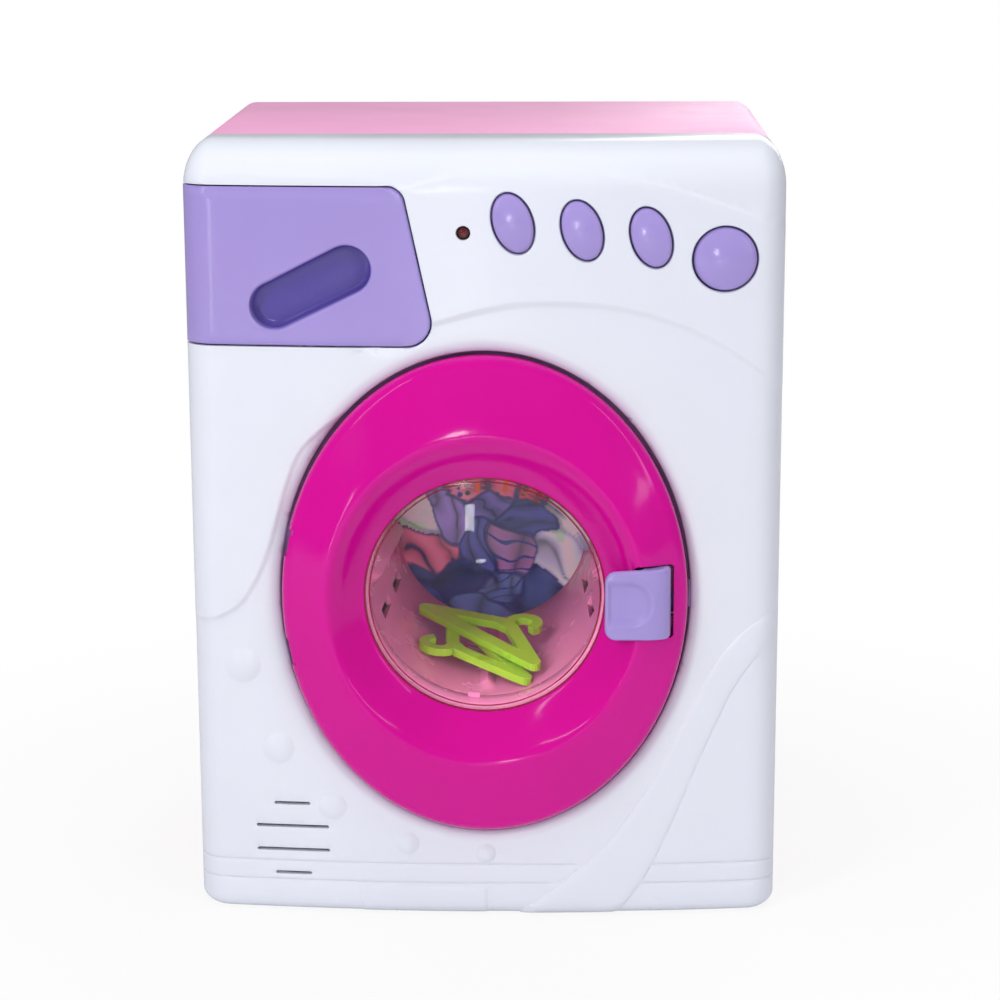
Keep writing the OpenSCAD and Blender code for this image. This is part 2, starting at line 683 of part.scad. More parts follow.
// Round wire that follows a helix about z
module coil(radius, wire, turns, length, steps = 14, sides = 6) {
    n = turns * steps;
    function at(k, j) = let (a = 360 * k / steps, b = 360 * j / sides)
        [(radius + wire * cos(b)) * cos(a), (radius + wire * cos(b)) * sin(a),
            length * k / n + wire * sin(b)];
    polyhedron(
        points = [for (k = [0 : n], j = [0 : sides - 1]) at(k, j)],
        faces = concat(
            [[for (j = [0 : sides - 1]) j]],
            [[for (j = [sides - 1 : -1 : 0]) n * sides + j]],
            [for (k = [0 : n - 1], j = [0 : sides - 1], half = [0, 1])
                let (a = k * sides + j, b = k * sides + (j + 1) % sides, c = b + sides, d = a + sides)
                half == 0 ? [a, d, c] : [a, c, b]]));
}

module latch_spring() color("#b9bcc2") placed()
    translate([latch_x, latch_y, spring_z + 0.7]) coil(1.6, 0.3, 4, spring_l - 0.8);

// ---- Soap drawer ----
drawer_t = 1.5;
drawer_screw_at = [for (x = [tray_x[0] + 8, tray_x[1] - 8]) [x, tray_z[1] - 6]];

module drawer_front() color("#a99bd9") placed() difference() {
    intersection() {
        case_form(0);
        front_slab(-2 * front_bow, drawer_wrap) drawer_outline(0);
    }
    block([-half_w + wall, tray_y, 0], [0, case_d, case_h]);
    front_slab(-2 * front_bow, tray_y - 1.5) handle_outline();
    for (p = drawer_screw_at)
        facing_back(p[0], tray_y - 4.4, p[1]) cylinder(r = small_screw_r + fit, h = 6);
}

module drawer_tray() color("#b6aadf") placed() difference() {
    block([tray_x[0], tray_y, tray_z[0]], [tray_x[1], tray_y + tray_l, tray_z[1]]);
    block([tray_x[0] + drawer_t, tray_y + drawer_t, tray_z[0] + drawer_t],
        [tray_x[1] - drawer_t, tray_y + tray_l - drawer_t, tray_z[1] + 1]);
    for (p = drawer_screw_at)
        facing_back(p[0], tray_y - 1, p[1]) cylinder(r = small_screw_r + 2 * fit, h = 4);
}

module drawer_screws() color("#9a9ca2") placed() for (p = drawer_screw_at)
    screw(p[0], tray_y + drawer_t, p[1], 5.4, small_screw_r, small_head_r, small_head_h);

module drawer_housing() color("#dfe1ea") placed() difference() {
    union() {
        difference() {
            block([housing_x[0] - housing_t, housing_y, housing_z[0] - housing_t],
                [housing_x[1] + housing_t, housing_y + housing_l + clear + housing_t, housing_z[1] + housing_t]);
            block([housing_x[0], housing_y - 1, housing_z[0]],
                [housing_x[1], housing_y + housing_l + clear, housing_z[1]]);
        }
        for (b = housing_bosses) {
            sleeve = b[1] > housing_z[1] ? housing_z[1] + housing_t / 2 : housing_z[0] - housing_t / 2;
            block([b[0] - 4, housing_y, min(b[1] - 4, sleeve)],
                [b[0] + 4, housing_y + 2, max(b[1] + 4, sleeve)]);
        }
    }
    for (b = housing_bosses)
        facing_back(b[0], housing_y - 1, b[1]) cylinder(r = small_screw_r + 2 * fit, h = 4);
}

module housing_screws() color("#9a9ca2") placed() for (b = housing_bosses)
    screw(b[0], housing_y + 2, b[1], 8, small_screw_r, small_head_r, small_head_h);

// ---- Buttons, board and light ----
stem_r = 2.4;
dome_h = 6;
contact_r = 1.6;                // contact post in the middle of a dome, and its distance from the board
contact_gap = button_travel + 0.7;
function flange_y(b) = face_y(abs(b[0]) + b[2] + 2) + wall + 0.3;

module button(b) color("#a99bd9") placed() {
    out = face_y(b[0]) - 2.6;
    round_r = 26;
    intersection() {
        front_slab(out - 1, flange_y(b) + 1) button_outline(b, 0);
        translate([b[0], out + round_r, b[1]]) sphere(round_r);
    }
    front_slab(flange_y(b), flange_y(b) + 1.4) button_outline(b, 1.6);
    facing_back(b[0], flange_y(b), b[1]) cylinder(r = stem_r, h = board_y - dome_h - flange_y(b));
}
module button_1() button(buttons[0]);
module button_2() button(buttons[1]);
module button_3() button(buttons[2]);
module button_4() button(buttons[3]);

// A hollow rubber dome that pushes its button back
module rubber_dome(b) color("#8d8f96") placed() facing_back(b[0], board_y - dome_h, b[1]) rotate_extrude()
    polygon([[0, 0], [stem_r + 0.6, 0], [stem_r + 1, 2.2], [stem_r + 2.6, dome_h - 1],
        [stem_r + 3.4, dome_h - 1], [stem_r + 3.4, dome_h], [stem_r + 1.4, dome_h], [stem_r, 2.6],
        [contact_r, 2.2], [contact_r, dome_h - contact_gap], [0, dome_h - contact_gap]]);
module rubber_dome_1() rubber_dome(buttons[0]);
module rubber_dome_2() rubber_dome(buttons[1]);
module rubber_dome_3() rubber_dome(buttons[2]);
module rubber_dome_4() rubber_dome(buttons[3]);

module control_board() color("#2f7d4f") placed() difference() {
    block([board_x[0], board_y, board_z[0]], [board_x[1], board_y + board_t, board_z[1]]);
    for (b = board_bosses)
        facing_back(b[0], board_y - 1, b[1]) cylinder(r = small_screw_r + 2 * fit, h = 4);
    for (x = [-1.27, 1.27])
        facing_back(led_x + x, board_y - 1, led_z) cylinder(r = 0.35, h = 4);
}

// The blob over the sound chip, a crystal, two capacitors and a row of resistors, on the back of the board
module board_parts() color("#26262a") placed() {
    y = board_y + board_t;
    translate([0, y, 0]) {
        facing_back(board_x[0] + 35, 0, board_z[0] + 18) cylinder(r1 = 8, r2 = 6, h = 1.8);
        translate([board_x[0] + 51, 0, board_z[0] + 20]) cube([11, 3.4, 4]);
        for (x = [27, 17]) facing_back(board_x[1] - x, 0, board_z[0] + 16) cylinder(r = 3.2, h = 9);
        for (i = [0 : 4]) translate([board_x[0] + 47 + 5 * i, 0, board_z[0] + 8]) cube([1.6, 1, 3]);
    }
}

module board_screws() color("#9a9ca2") placed() for (b = board_bosses)
    screw(b[0], board_y + board_t, b[1], 7, small_screw_r, small_head_r, small_head_h);

module status_led() color("#7a1018") placed() {
    r = led_r - 0.15;
    front = face_y(led_x) - relief + 0.4;
    translate([led_x, front + r, led_z]) sphere(r);
    facing_back(led_x, front + r, led_z) cylinder(r = r, h = 3);
    facing_back(led_x, front + r + 3, led_z) cylinder(r = r + 0.4, h = 0.8);
    for (x = [-1.27, 1.27])
        facing_back(led_x + x, front + r + 3, led_z)
            cylinder(r = 0.25, h = board_y + board_t + 0.4 - front - r - 3);
}

// ---- Loudspeaker ----
magnet_r = 8;
magnet_l = 4.6;
clamp_t = 1.6;
speaker_back = speaker_y + speaker_depth;

module speaker_basket() color("#55575e") placed() facing_back(speaker_x, 0, speaker_z)
    rotate_extrude() polygon([
    [speaker_r - 2, speaker_y], [speaker_r, speaker_y], [speaker_r, speaker_back], [magnet_r - 3, speaker_back],
    [magnet_r - 3, speaker_back - 1], [speaker_r - 1, speaker_back - 1], [speaker_r - 1, speaker_y + 1],
    [speaker_r - 2, speaker_y + 1]]);

module speaker_cone() color("#2b2b2f") placed() facing_back(speaker_x, 0, speaker_z)
    rotate_extrude() polygon([
    [0, speaker_y + 3.4], [3.4, speaker_y + 4.4], [speaker_r - 4, speaker_y + 1.4], [speaker_r - 1, speaker_y + 1],
    [speaker_r - 1, speaker_y + 1.5], [speaker_r - 4, speaker_y + 2.2], [3.6, speaker_y + 5.2],
    [3.6, speaker_back - 1], [3, speaker_back - 1], [3, speaker_y + 5], [0, speaker_y + 4]]);

module speaker_magnet() color("#3a3a3e") placed()
    facing_back(speaker_x, speaker_back, speaker_z) cylinder(r = magnet_r, h = magnet_l);

module stroke(p, q, w) {
    d = q - p;
    translate(p) rotate(atan2(d[1], d[0])) translate([0, -w / 2]) square([norm(d), w]);
    for (e = [p, q]) translate(e) circle(w / 2);
}

module speaker_clamp() color("#dfe1ea") placed() difference() {
    union() {
        facing_back(speaker_x, speaker_back, speaker_z) cylinder(r = speaker_r, h = clamp_t);
        for (b = clamp_bosses) {
            facing_back(b[0], speaker_back, b[1]) cylinder(r = boss_r, h = clamp_t);
            front_slab(speaker_back, speaker_back + clamp_t)
                stroke(b, [speaker_x, speaker_z] + (speaker_r - 2) * unit(b - [speaker_x, speaker_z]), 2 * boss_r);
        }
    }
    facing_back(speaker_x, speaker_back - 1, speaker_z) cylinder(r = magnet_r + clear / 2, h = clamp_t + 2);
    for (b = clamp_bosses)
        facing_back(b[0], speaker_back - 1, b[1]) cylinder(r = small_screw_r + 2 * fit, h = clamp_t + 2);
}

module clamp_screws() color("#9a9ca2") placed() for (b = clamp_bosses)
    screw(b[0], speaker_back + clamp_t, b[1], 7.4, small_screw_r, small_head_r, small_head_h);

// ---- Drum ----
drum_front_r = mouth_r + 0.8;
drum_back_y = drum_y + drum_depth;
hub_r = 7;
hub_l = 3;
disc_t = 0.8;
drum_screw_head = 1.2;          // depth of the recess for the drum's screw
slot_angles = [67.5, 112.5, 247.5, 292.5];      // drain slots, turned from the bottom
slot_starts = [drum_y + 14, drum_y + 44];
slot_run = 18;
slot_half = 1.6;
shaft_y = drum_back_y + drum_screw_head + 0.6;
shaft_end = rear_plate_end + 1.6;
function drum_r(y) = drum_front_r + (drum_back_r - drum_front_r) * (y - drum_y) / drum_depth;

module drum() color("#d98bb8") placed() difference() {
    union() {
        facing_back(0, 0, door_z) rotate_extrude() polygon([
            [0, drum_back_y], [drum_back_r, drum_back_y], [drum_front_r, drum_y],
            [drum_front_r + drum_t, drum_y], [drum_back_r + drum_t, drum_end],
            [hub_r, drum_end], [hub_r, drum_end + hub_l], [0, drum_end + hub_l]]);
        for (a = [0 : 90 : 270]) translate([0, 0, door_z]) rotate([0, a, 0]) lifting_rib();
    }
    // drain slots above and below the ribs at the sides
    for (a = slot_angles, y = slot_starts) translate([0, 0, door_z]) rotate([0, a, 0])
        block([-slot_half, y, -drum_front_r - drum_t - 1], [slot_half, y + slot_run, 4 - drum_back_r]);
    facing_back(0, shaft_y, door_z) cylinder(r = shaft_r, h = case_d);
    facing_back(0, drum_back_y - 1, door_z) cylinder(r = small_screw_r + fit, h = case_d);
    facing_back(0, drum_back_y - 1, door_z) cylinder(r = small_head_r + 2 * fit, h = drum_screw_head + 1);
}

module lifting_rib() {
    y0 = drum_y + 6;
    y1 = drum_back_y - disc_t - 0.4;
    sunk = drum_t / 2;
    translate([-2, 0, 0]) rotate([90, 0, 90]) linear_extrude(4) polygon([
        [y0, -drum_r(y0) - sunk], [y0, -drum_r(y0)], [y0 + 6, rib_h - drum_r(y0 + 6)],
        [y1 - 4, rib_h - drum_r(y1 - 4)], [y1, -drum_r(y1)], [y1, -drum_r(y1) - sunk]]);
}

module picture_disc() color("#d8a9c6") placed()
    facing_back(0, drum_back_y - disc_t, door_z) cylinder(r = drum_back_r - 0.3, h = disc_t);

module drum_shaft() color("#b9bcc2") placed() difference() {
    facing_back(0, shaft_y, door_z) cylinder(r = shaft_r, h = shaft_end - shaft_y);
    facing_back(0, shaft_y - 1, door_z) cylinder(r = small_screw_r + fit, h = 8);
}

// The drum's screw has its head in front and goes back into the shaft
module drum_screw() color("#9a9ca2") placed() translate([0, drum_back_y + drum_screw_head, door_z])
    rotate([0, 0, 180]) screw(0, 0, 0, 6.5, small_screw_r, small_head_r, drum_screw_head - 0.1);

// Toy hangers that lie on the floor of the drum
hanger_t = 2.6;
hanger_half = 28.5;
hanger_rise = 12;
hanger_top = 3;                 // half width of the flat top under the hook
hanger_bar = 2.2;               // half width of the bars
hook_at = [3.6, 17];
hook_r = 6.6;
hook_t = 3.6;

hanger_tilt = atan2(hanger_rise, hanger_half - hanger_top);
// x where the inner edge of a sloping bar is at height z
function hanger_in(z) = hanger_half - (hanger_bar + z * cos(hanger_tilt)) / sin(hanger_tilt);

module hanger() translate([0, 0, -hanger_t / 2]) linear_extrude(hanger_t) {
    difference() {
        union() {
            polygon(concat(
                arc(-hanger_half, 0, hanger_bar, 90 + hanger_tilt, 270, corner_steps),
                arc(hanger_half, 0, hanger_bar, 270, 450 - hanger_tilt, corner_steps),
                arc(hanger_top, hanger_rise, hanger_bar, 90 - hanger_tilt, 90, 2),
                arc(-hanger_top, hanger_rise, hanger_bar, 90, 90 + hanger_tilt, 2)));
            polygon(concat(
                arc(hook_at[0], hook_at[1], hook_r, -10, 262, 2 * corner_steps),
                arc(hook_at[0], hook_at[1], hook_r - hook_t, 262, -10, 2 * corner_steps)));
        }
        polygon([for (e = [[-1, hanger_bar], [1, hanger_bar], [1, hanger_rise - hanger_bar],
            [-1, hanger_rise - hanger_bar]]) [e[0] * hanger_in(e[1]), e[1]]]);
    }
}

module hanger_1() color("#96c832") placed()
    translate([-3.5, 45, door_z - 26]) rotate([10.2, 0, 0]) rotate(-48) hanger();
module hanger_2() color("#96c832") placed()
    translate([-0.4, 46.2, door_z - 29.7]) rotate([5.7, 7.2, 0]) rotate(118) hanger();

// ---- Drive ----
backlash = 0.1;
idler_pin_r = 1.5;

module gear_outline(teeth) {
    r = gear_m * teeth / 2;
    root = r - 1.2 * gear_m;
    tip = r + 0.95 * gear_m;
    half = 90 / teeth - atan(backlash / r);
    lean = tan(20) * 180 / PI;
    polygon([for (i = [0 : teeth - 1], k = [
        [root, -half - lean * (r - root) / r], [r, -half], [tip, -half + lean * (tip - r) / r],
        [tip, half - lean * (tip - r) / r], [r, half], [root, half + lean * (r - root) / r]])
        k[0] * [cos(360 * i / teeth + k[1]), sin(360 * i / teeth + k[1])]]);
}

module gear_at(at, turn, teeth, y0, y1) front_slab(y0, y1) translate(at) rotate(turn) gear_outline(teeth);

module drum_gear() color("#f2f0e4") placed() difference() {
    union() {
        gear_at([0, door_z], idler_angle, drum_teeth, gear_y, gear_y + gear_w);
        facing_back(0, gear_y, door_z) cylinder(r = 5.5, h = gear_w + 3);
    }
    for (a = [0 : 60 : 300])
        facing_back(14 * cos(a), gear_y - 1, door_z + 14 * sin(a)) cylinder(r = 4.5, h = gear_w + 2);
    facing_back(0, gear_y - 1, door_z) cylinder(r = shaft_r, h = gear_w + 6);
}

module idler_gear() color("#e8e2c8") placed() difference() {
    union() {
        gear_at(idler_at, idler_angle + 180 + 180 / small_teeth, small_teeth, gear_y, large_y + 0.5);
        gear_at(idler_at, motor_angle, large_teeth, large_y, large_y + large_w);
    }
    facing_back(idler_at[0], gear_y - 1, idler_at[1]) cylinder(r = idler_pin_r + fit, h = 3 * gear_w);
}

module idler_pin() color("#b9bcc2") placed()
    facing_back(idler_at[0], front_plate_y, idler_at[1])
        cylinder(r = idler_pin_r, h = rear_plate_end - front_plate_y);

module plate(y) front_slab(y, y + plate_t) rounded(plate_x[0], plate_z[0], plate_x[1], plate_z[1], 5);

module plate_holes(y) {
    for (p = drive_posts) facing_back(p[0], y - 1, p[1]) cylinder(r = screw_r + 2 * fit, h = 2 * case_d);
    facing_back(0, y - 1, door_z) cylinder(r = bush_r, h = plate_t + 2);
    facing_back(idler_at[0], y - 1, idler_at[1]) cylinder(r = idler_pin_r, h = plate_t + 2);
}

bush_r = 4.2;
bush_flange = 1;

module drive_plate_front() color("#cfd2da") placed() difference() {
    union() {
        plate(front_plate_y);
        for (p = drive_posts)
            facing_back(p[0], front_plate_y, p[1]) cylinder(r = 4, h = rear_plate_y - front_plate_y);
    }
    plate_holes(front_plate_y);
}

module drive_plate_rear() color("#cfd2da") placed() difference() {
    plate(rear_plate_y);
    plate_holes(rear_plate_y);
    facing_back(motor_at[0], rear_plate_y - 1, motor_at[1]) cylinder(r = 3 + fit, h = plate_t + 2);
}

// Flanged bushes that carry the drum's shaft in both plates
module drum_bushes() color("#c9a24a") placed() difference() {
    union() {
        facing_back(0, front_plate_y, door_z) cylinder(r = bush_r, h = plate_t);
        facing_back(0, front_plate_y + plate_t, door_z) cylinder(r = bush_r + 1.6, h = bush_flange);
        facing_back(0, rear_plate_y, door_z) cylinder(r = bush_r, h = plate_t);
        facing_back(0, rear_plate_y - bush_flange, door_z) cylinder(r = bush_r + 1.6, h = bush_flange);
    }
    facing_back(0, front_plate_y - 1, door_z) cylinder(r = shaft_r + fit, h = case_d);
}

module drive_screws() color("#9a9ca2") placed() for (p = drive_posts)
    translate([p[0], front_plate_y, p[1]]) rotate([0, 0, 180])
        screw(0, 0, 0, rear_plate_end - front_plate_y + 11);

module motor_section(grow) intersection() {
    circle(motor_half_w + grow);
    square([4 * motor_half_w, 2 * (motor_half_h + grow)], center = true);
}

module motor_can() color("#b4b7bd") placed() difference() {
    union() {
        front_slab(rear_plate_end, rear_plate_end + motor_l) translate(motor_at) motor_section(0);
        facing_back(motor_at[0], rear_plate_end - 1.6, motor_at[1]) cylinder(r = 3, h = 3);
    }
    facing_back(motor_at[0], rear_plate_y - 1, motor_at[1]) cylinder(r = pin_r + fit, h = motor_l);
}

module motor_endcap() color("#f0f0ec") placed() {
    y = rear_plate_end + motor_l;
    front_slab(y, y + endcap_t) translate(motor_at) motor_section(-clear);
    for (s = [-1, 1])
        translate([motor_at[0] + s * 5 - 1, y + endcap_t, motor_at[1] - 0.3]) cube([2, terminal_l, 0.6]);
}

module motor_shaft() color("#b9bcc2") placed()
    facing_back(motor_at[0], large_y - 0.6, motor_at[1]) cylinder(r = pin_r, h = motor_l);

module motor_pinion() color("#c9a24a") placed() difference() {
    gear_at(motor_at, motor_angle + 180 + 180 / pinion_teeth, pinion_teeth, large_y, large_y + large_w);
    facing_back(motor_at[0], large_y - 1, motor_at[1]) cylinder(r = pin_r, h = large_w + 2);
}

// ---- Batteries ----
module cover_outline(gap) {
    reach = cover_rim + gap;
    rounded(-box_x - reach, box_low - reach, box_x + reach, box_high + reach, 2);
    translate(cover_boss) circle(cover_boss_r + reach);
}

module battery_tray() color("#d9dbe2") placed() difference() {
    union() {
        block([-box_x - tray_t, box_y - tray_t, box_low - tray_t],
            [box_x + tray_t, back_in, box_high + tray_t]);
        front_slab(back_in - 1.6, back_in) {
            rounded(-box_x - 5.6, box_low - 5.6, box_x + 5.6, box_high + 5.6, 2);
            translate(cover_boss) circle(cover_boss_r + 4.4);
        }
        facing_back(cover_boss[0], box_y, cover_boss[1]) cylinder(r = cover_boss_r, h = back_in - box_y);
    }
    difference() {
        block([-box_x, box_y, box_low], [box_x, case_d, box_high]);
        for (i = [1 : cells_n - 1])
            block([-cell_l / 2 + 4, box_y - 1, cell_z(i) - cell_pitch / 2 - 0.4],
                [cell_l / 2 - 4, box_y + 5, cell_z(i) - cell_pitch / 2 + 0.4]);
    }
    facing_back(cover_boss[0], back_in - 12, cover_boss[1]) cylinder(r = screw_r + fit, h = 14);
}

module battery_cells() color("#5a5f68") placed() for (i = [0 : cells_n - 1]) {
    s = i % 2 == 0 ? 1 : -1;
    translate([0, cell_y, cell_z(i)]) rotate([0, s * 90, 0]) {
        translate([0, 0, -cell_l / 2]) cylinder(r = cell_r, h = cell_l - 1.2);
        translate([0, 0, cell_l / 2 - 1.2]) cylinder(r = 2.6, h = 1.2);
    }
}

module battery_contacts() color("#c8cace") placed() for (i = [0 : cells_n - 1], s = [-1, 1]) {
    x = s * (box_x - 0.25);
    translate([x, cell_y, cell_z(i)]) cube([0.5, 11, 11], center = true);
    translate([s * (box_x - 0.5), cell_y, cell_z(i)]) rotate([0, -s * 90, 0])
        cylinder(r1 = 4, r2 = 2.4, h = contact_room - 0.6);
}

module battery_cover() color("#eaadd1") placed() difference() {
    front_slab(back_in, case_d) cover_outline(0);
    facing_back(cover_boss[0], back_in - 1, cover_boss[1]) cylinder(r = screw_r + 2 * fit, h = 2 * wall);
    facing_back(cover_boss[0], case_d - head_h + 0.4, cover_boss[1]) cylinder(r = head_r + 2 * fit, h = wall);
}

module cover_screw() color("#9a9ca2") placed()
    screw(cover_boss[0], case_d - head_h + 0.4, cover_boss[1], 9, screw_r, head_r, head_h - 0.6);

// ---- Leads ----
lead_r = 0.7;
battery_route = [[-31.4, box_y + 3.9, 40], [-50, box_y + 1.9, 62], [-72, 122, 120], [-66, 106, 178],
    [-16, 96, 200], [2, 50, 222],
    [2, 20.8, 226]];
motor_route = [[motor_at[0] + 6.3, motor_end - 1.2, motor_at[1]], [62, motor_end - 1.8, 96],
    [66, 118, 150], [58, 70, 200], [40, 40, 212], [30, 20.8, 211]];
speaker_route = [[-63.5, 18.8, 24], [-63.5, 44, 24], [-70, 58, 62], [-70, 60, 176], [-14, 60, 184], [-6, 36, 200],
    [-4, 20.8, 212]];

function unit(v) = v / norm(v);
function tangent(p, i) = unit((i > 0 ? unit(p[i] - p[i - 1]) : [0, 0, 0])
    + (i < len(p) - 1 ? unit(p[i + 1] - p[i]) : [0, 0, 0]));
// A direction square to the route at point i, carried along it without a twist
function side(p, i) = let (t = tangent(p, i), u = i > 0 ? side(p, i - 1) : [1, 0, 0]) unit(u - (u * t) * t);

// A round lead along a route
module lead(p, sides = 8) polyhedron(
    points = [for (i = [0 : len(p) - 1], j = [0 : sides - 1])
        let (u = side(p, i), v = cross(tangent(p, i), u), a = 360 * j / sides)
        p[i] + lead_r * (cos(a) * u + sin(a) * v)],
    faces = concat(
        [[for (j = [0 : sides - 1]) j]],
        [[for (j = [sides - 1 : -1 : 0]) (len(p) - 1) * sides + j]],
        [for (i = [0 : len(p) - 2], j = [0 : sides - 1], half = [0, 1])
            let (a = i * sides + j, b = i * sides + (j + 1) % sides, c = b + sides, d = a + sides)
            half == 0 ? [a, d, c] : [a, c, b]]));

// A pair of leads along a route, side by side
module leads(route, apart) for (s = [0, 1]) lead([for (p = route) p + s * apart]);

module battery_leads() color("#b01c22") placed() leads(battery_route, [0, 0, 2]);
module motor_leads() color("#2a4fa0") placed() leads(motor_route, [0, 0, 2]);
module speaker_leads() color("#303034") placed() leads(speaker_route, [2, 0, 2]);

front_shell();
rear_shell();
shell_screws();
mouth_ring();
door_ring();
door_frame();
door_back();
door_window();
door_screws();
hinge_pins();
latch_lever();
latch_pin();
latch_spring();
drawer_front();
drawer_tray();
drawer_screws();
drawer_housing();
housing_screws();
button_1();
button_2();
button_3();
button_4();
rubber_dome_1();
rubber_dome_2();
rubber_dome_3();
rubber_dome_4();
control_board();
board_parts();
board_screws();
status_led();
speaker_basket();
speaker_cone();
speaker_magnet();
speaker_clamp();
clamp_screws();
drum();
picture_disc();
drum_shaft();
drum_gear();
drum_screw();
hanger_1();
hanger_2();
drive_plate_front();
drive_plate_rear();
drive_screws();
drum_bushes();
idler_gear();
idler_pin();
motor_can();
motor_endcap();
motor_shaft();
motor_pinion();
battery_tray();
battery_cells();
battery_contacts();
battery_cover();
cover_screw();
battery_leads();
motor_leads();
speaker_leads();
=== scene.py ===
"""Toy washing machine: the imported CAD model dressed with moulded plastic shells, a glossy door, a clear window, soft
buttons and a laundry print behind the drum. The modelling code is in millimetres of the design frame (x right, y back
from the middle of the front face, z up), and place() turns them into the row frame's metres."""
from math import asin, atan2, cos, pi, radians, sin, sqrt

import bmesh
import bpy
import numpy as np
from mathutils import Matrix, Vector
from mathutils.geometry import delaunay_2d_cdt
from mathutils.kdtree import KDTree


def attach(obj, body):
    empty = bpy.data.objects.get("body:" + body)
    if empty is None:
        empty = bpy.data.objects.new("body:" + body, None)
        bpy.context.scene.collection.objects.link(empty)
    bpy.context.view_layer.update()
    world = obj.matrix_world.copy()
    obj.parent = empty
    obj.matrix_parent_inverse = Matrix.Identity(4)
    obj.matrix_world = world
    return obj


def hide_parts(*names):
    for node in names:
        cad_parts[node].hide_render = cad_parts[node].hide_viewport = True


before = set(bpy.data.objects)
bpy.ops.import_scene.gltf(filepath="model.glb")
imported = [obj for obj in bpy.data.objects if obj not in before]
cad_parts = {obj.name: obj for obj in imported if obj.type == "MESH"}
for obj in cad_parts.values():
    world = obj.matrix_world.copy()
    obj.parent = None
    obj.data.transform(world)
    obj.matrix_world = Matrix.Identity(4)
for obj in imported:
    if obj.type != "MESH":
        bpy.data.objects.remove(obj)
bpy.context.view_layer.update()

# ---- sizes, in mm
SHIFT = 70.5  # the design frame's y = 0 lies this far in front of the row frame's origin
CASE_D = 152.0
BOW_R = 730.94  # radius of the front's bow, seen from above
SEAM = 30  # where the white and the pink shell meet
WALL = 2.4  # thickness of both shells
GAP = 0.5  # round the drawer and the battery cover
DOOR_Z, WELL_A, WELL_B, WELL_Y = 109, 66, 79.5, 8.5
DOOR_BACK = 1.4
HINGE_X, HINGES = -58, (DOOR_Z + 18, DOOR_Z - 18)
GROOVES = (17.5, 11)
FLAT_X, FLAT_LOW, FLAT_HIGH = 86, 5, 239  # where the flat front ends and the rounding begins
ROUND_X, ROUND_LOW, ROUND_HIGH = 9, 5, 15  # how far the rounding reaches, seen from the front
ROUND_DEEP = 8  # and how deep it goes along the sides
DRAWER_LOW, DRAWER_TOP = 190, 240
DRAWER_CORNERS = [(-29.7, 234.8, 5.2), (-24.3, 197.7, 7.7)]  # middle and radius
HANDLE = [(-66, 202.5, 7.6), (-43, 214, 7.8)]
# middle, half width, half height and tilt
BUTTONS = [(9.4, 229, 6, 9.5, 18), (30.93, 226.65, 6, 9.5, 18), (52.47, 224.3, 6, 9.5, 18),
           (75.7, 217.3, 9.9, 9.9, 0)]
LED = (-6.1, 226)
SLOTS = [(-69.5, -57.7, 37.6), (-75.6, -51.6, 29.7), (-75.5, -51.4, 21.6), (-69.5, -57.5, 13.5)]
BUBBLES = [(-79, 84.3, 6), (-67.7, 56.4, 5.2), (-50.3, 37, 4.7), (-25.7, 24.9, 3.9), (0, 21.7, 3.3)]
POSTS = [(-82, 12), (82, 12), (-84, 132), (84, 132), (-82, 244.4), (82, 243)]


# ---- outlines and heights
stack = np.column_stack


def curve(points, step=1.4):
    """A smooth line through the points (Catmull-Rom), at about that step."""
    p = np.array([points[0]] + list(points) + [points[-1]], float)
    out = []
    for i in range(1, len(p) - 2):
        n = max(2, int(np.linalg.norm(p[i + 1] - p[i]) / step))
        t = np.arange(n)[:, None] / n
        a, b, c, d = p[i - 1], p[i], p[i + 1], p[i + 2]
        square, cube = 2 * a - 5 * b + 4 * c - d, 3 * b - a - 3 * c + d
        out.append(0.5 * (2 * b + (c - a) * t + square * t ** 2 + cube * t ** 3))
    return np.vstack(out + [p[-1:]])


# the relief's edges on the front, as x, z
PANEL_TOP = curve([
    (-100, 237), (-60, 238.6), (-27.8, 240.4), (-18.6, 242.4), (-8.2, 244.6), (-0.7, 245.2), (12, 246), (30.8, 245.4),
    (43.5, 244), (59.4, 240.4), (78.5, 233.9), (93.3, 228.5), (100, 226)])
BAND_UP = curve([
    (-40, 190), (-16.4, 198.2), (4.7, 203.8), (18.1, 205), (37.2, 204), (53.4, 200.7), (69.3, 194.4), (82.4, 186.4),
    (94.6, 177), (102, 170.5)])
BAND_LOW = curve([
    (-40, 187.5), (-15.1, 196.2), (4.7, 201), (18.1, 202.4), (37.2, 201.4), (53.4, 198.1), (69.3, 191.6),
    (82.4, 183.7), (93.7, 175), (102, 168)])
CORNER_EDGE = curve([
    (-100, 99.4), (-93.2, 100.1), (-86.9, 101.2), (-79.7, 105.7), (-74.9, 113), (-71.3, 121.1), (-67.8, 132.8),
    (-63.4, 147.6), (-58, 158.2), (-47.2, 167.1), (-38, 172)])
RIBBON_UP = curve([
    (104, 102.2), (93.4, 101.3), (88.6, 100), (81.9, 95), (76.5, 88.8), (71.7, 81.1), (66.5, 70.6), (59.8, 57.1),
    (54.4, 46.5), (46.1, 33.6), (36.7, 22.1), (25.6, 12.7), (17.4, 6.1), (10.5, -0.1), (6, -4)])
RIBBON_LOW = curve([
    (102, 100.5), (94.3, 93.9), (86.8, 86.4), (80.1, 76.6), (75.5, 66.8), (70.1, 54.7), (64.1, 39.8), (58, 25.4),
    (51.9, 13), (46.3, 5.1), (41.6, -0.7), (38, -5)])


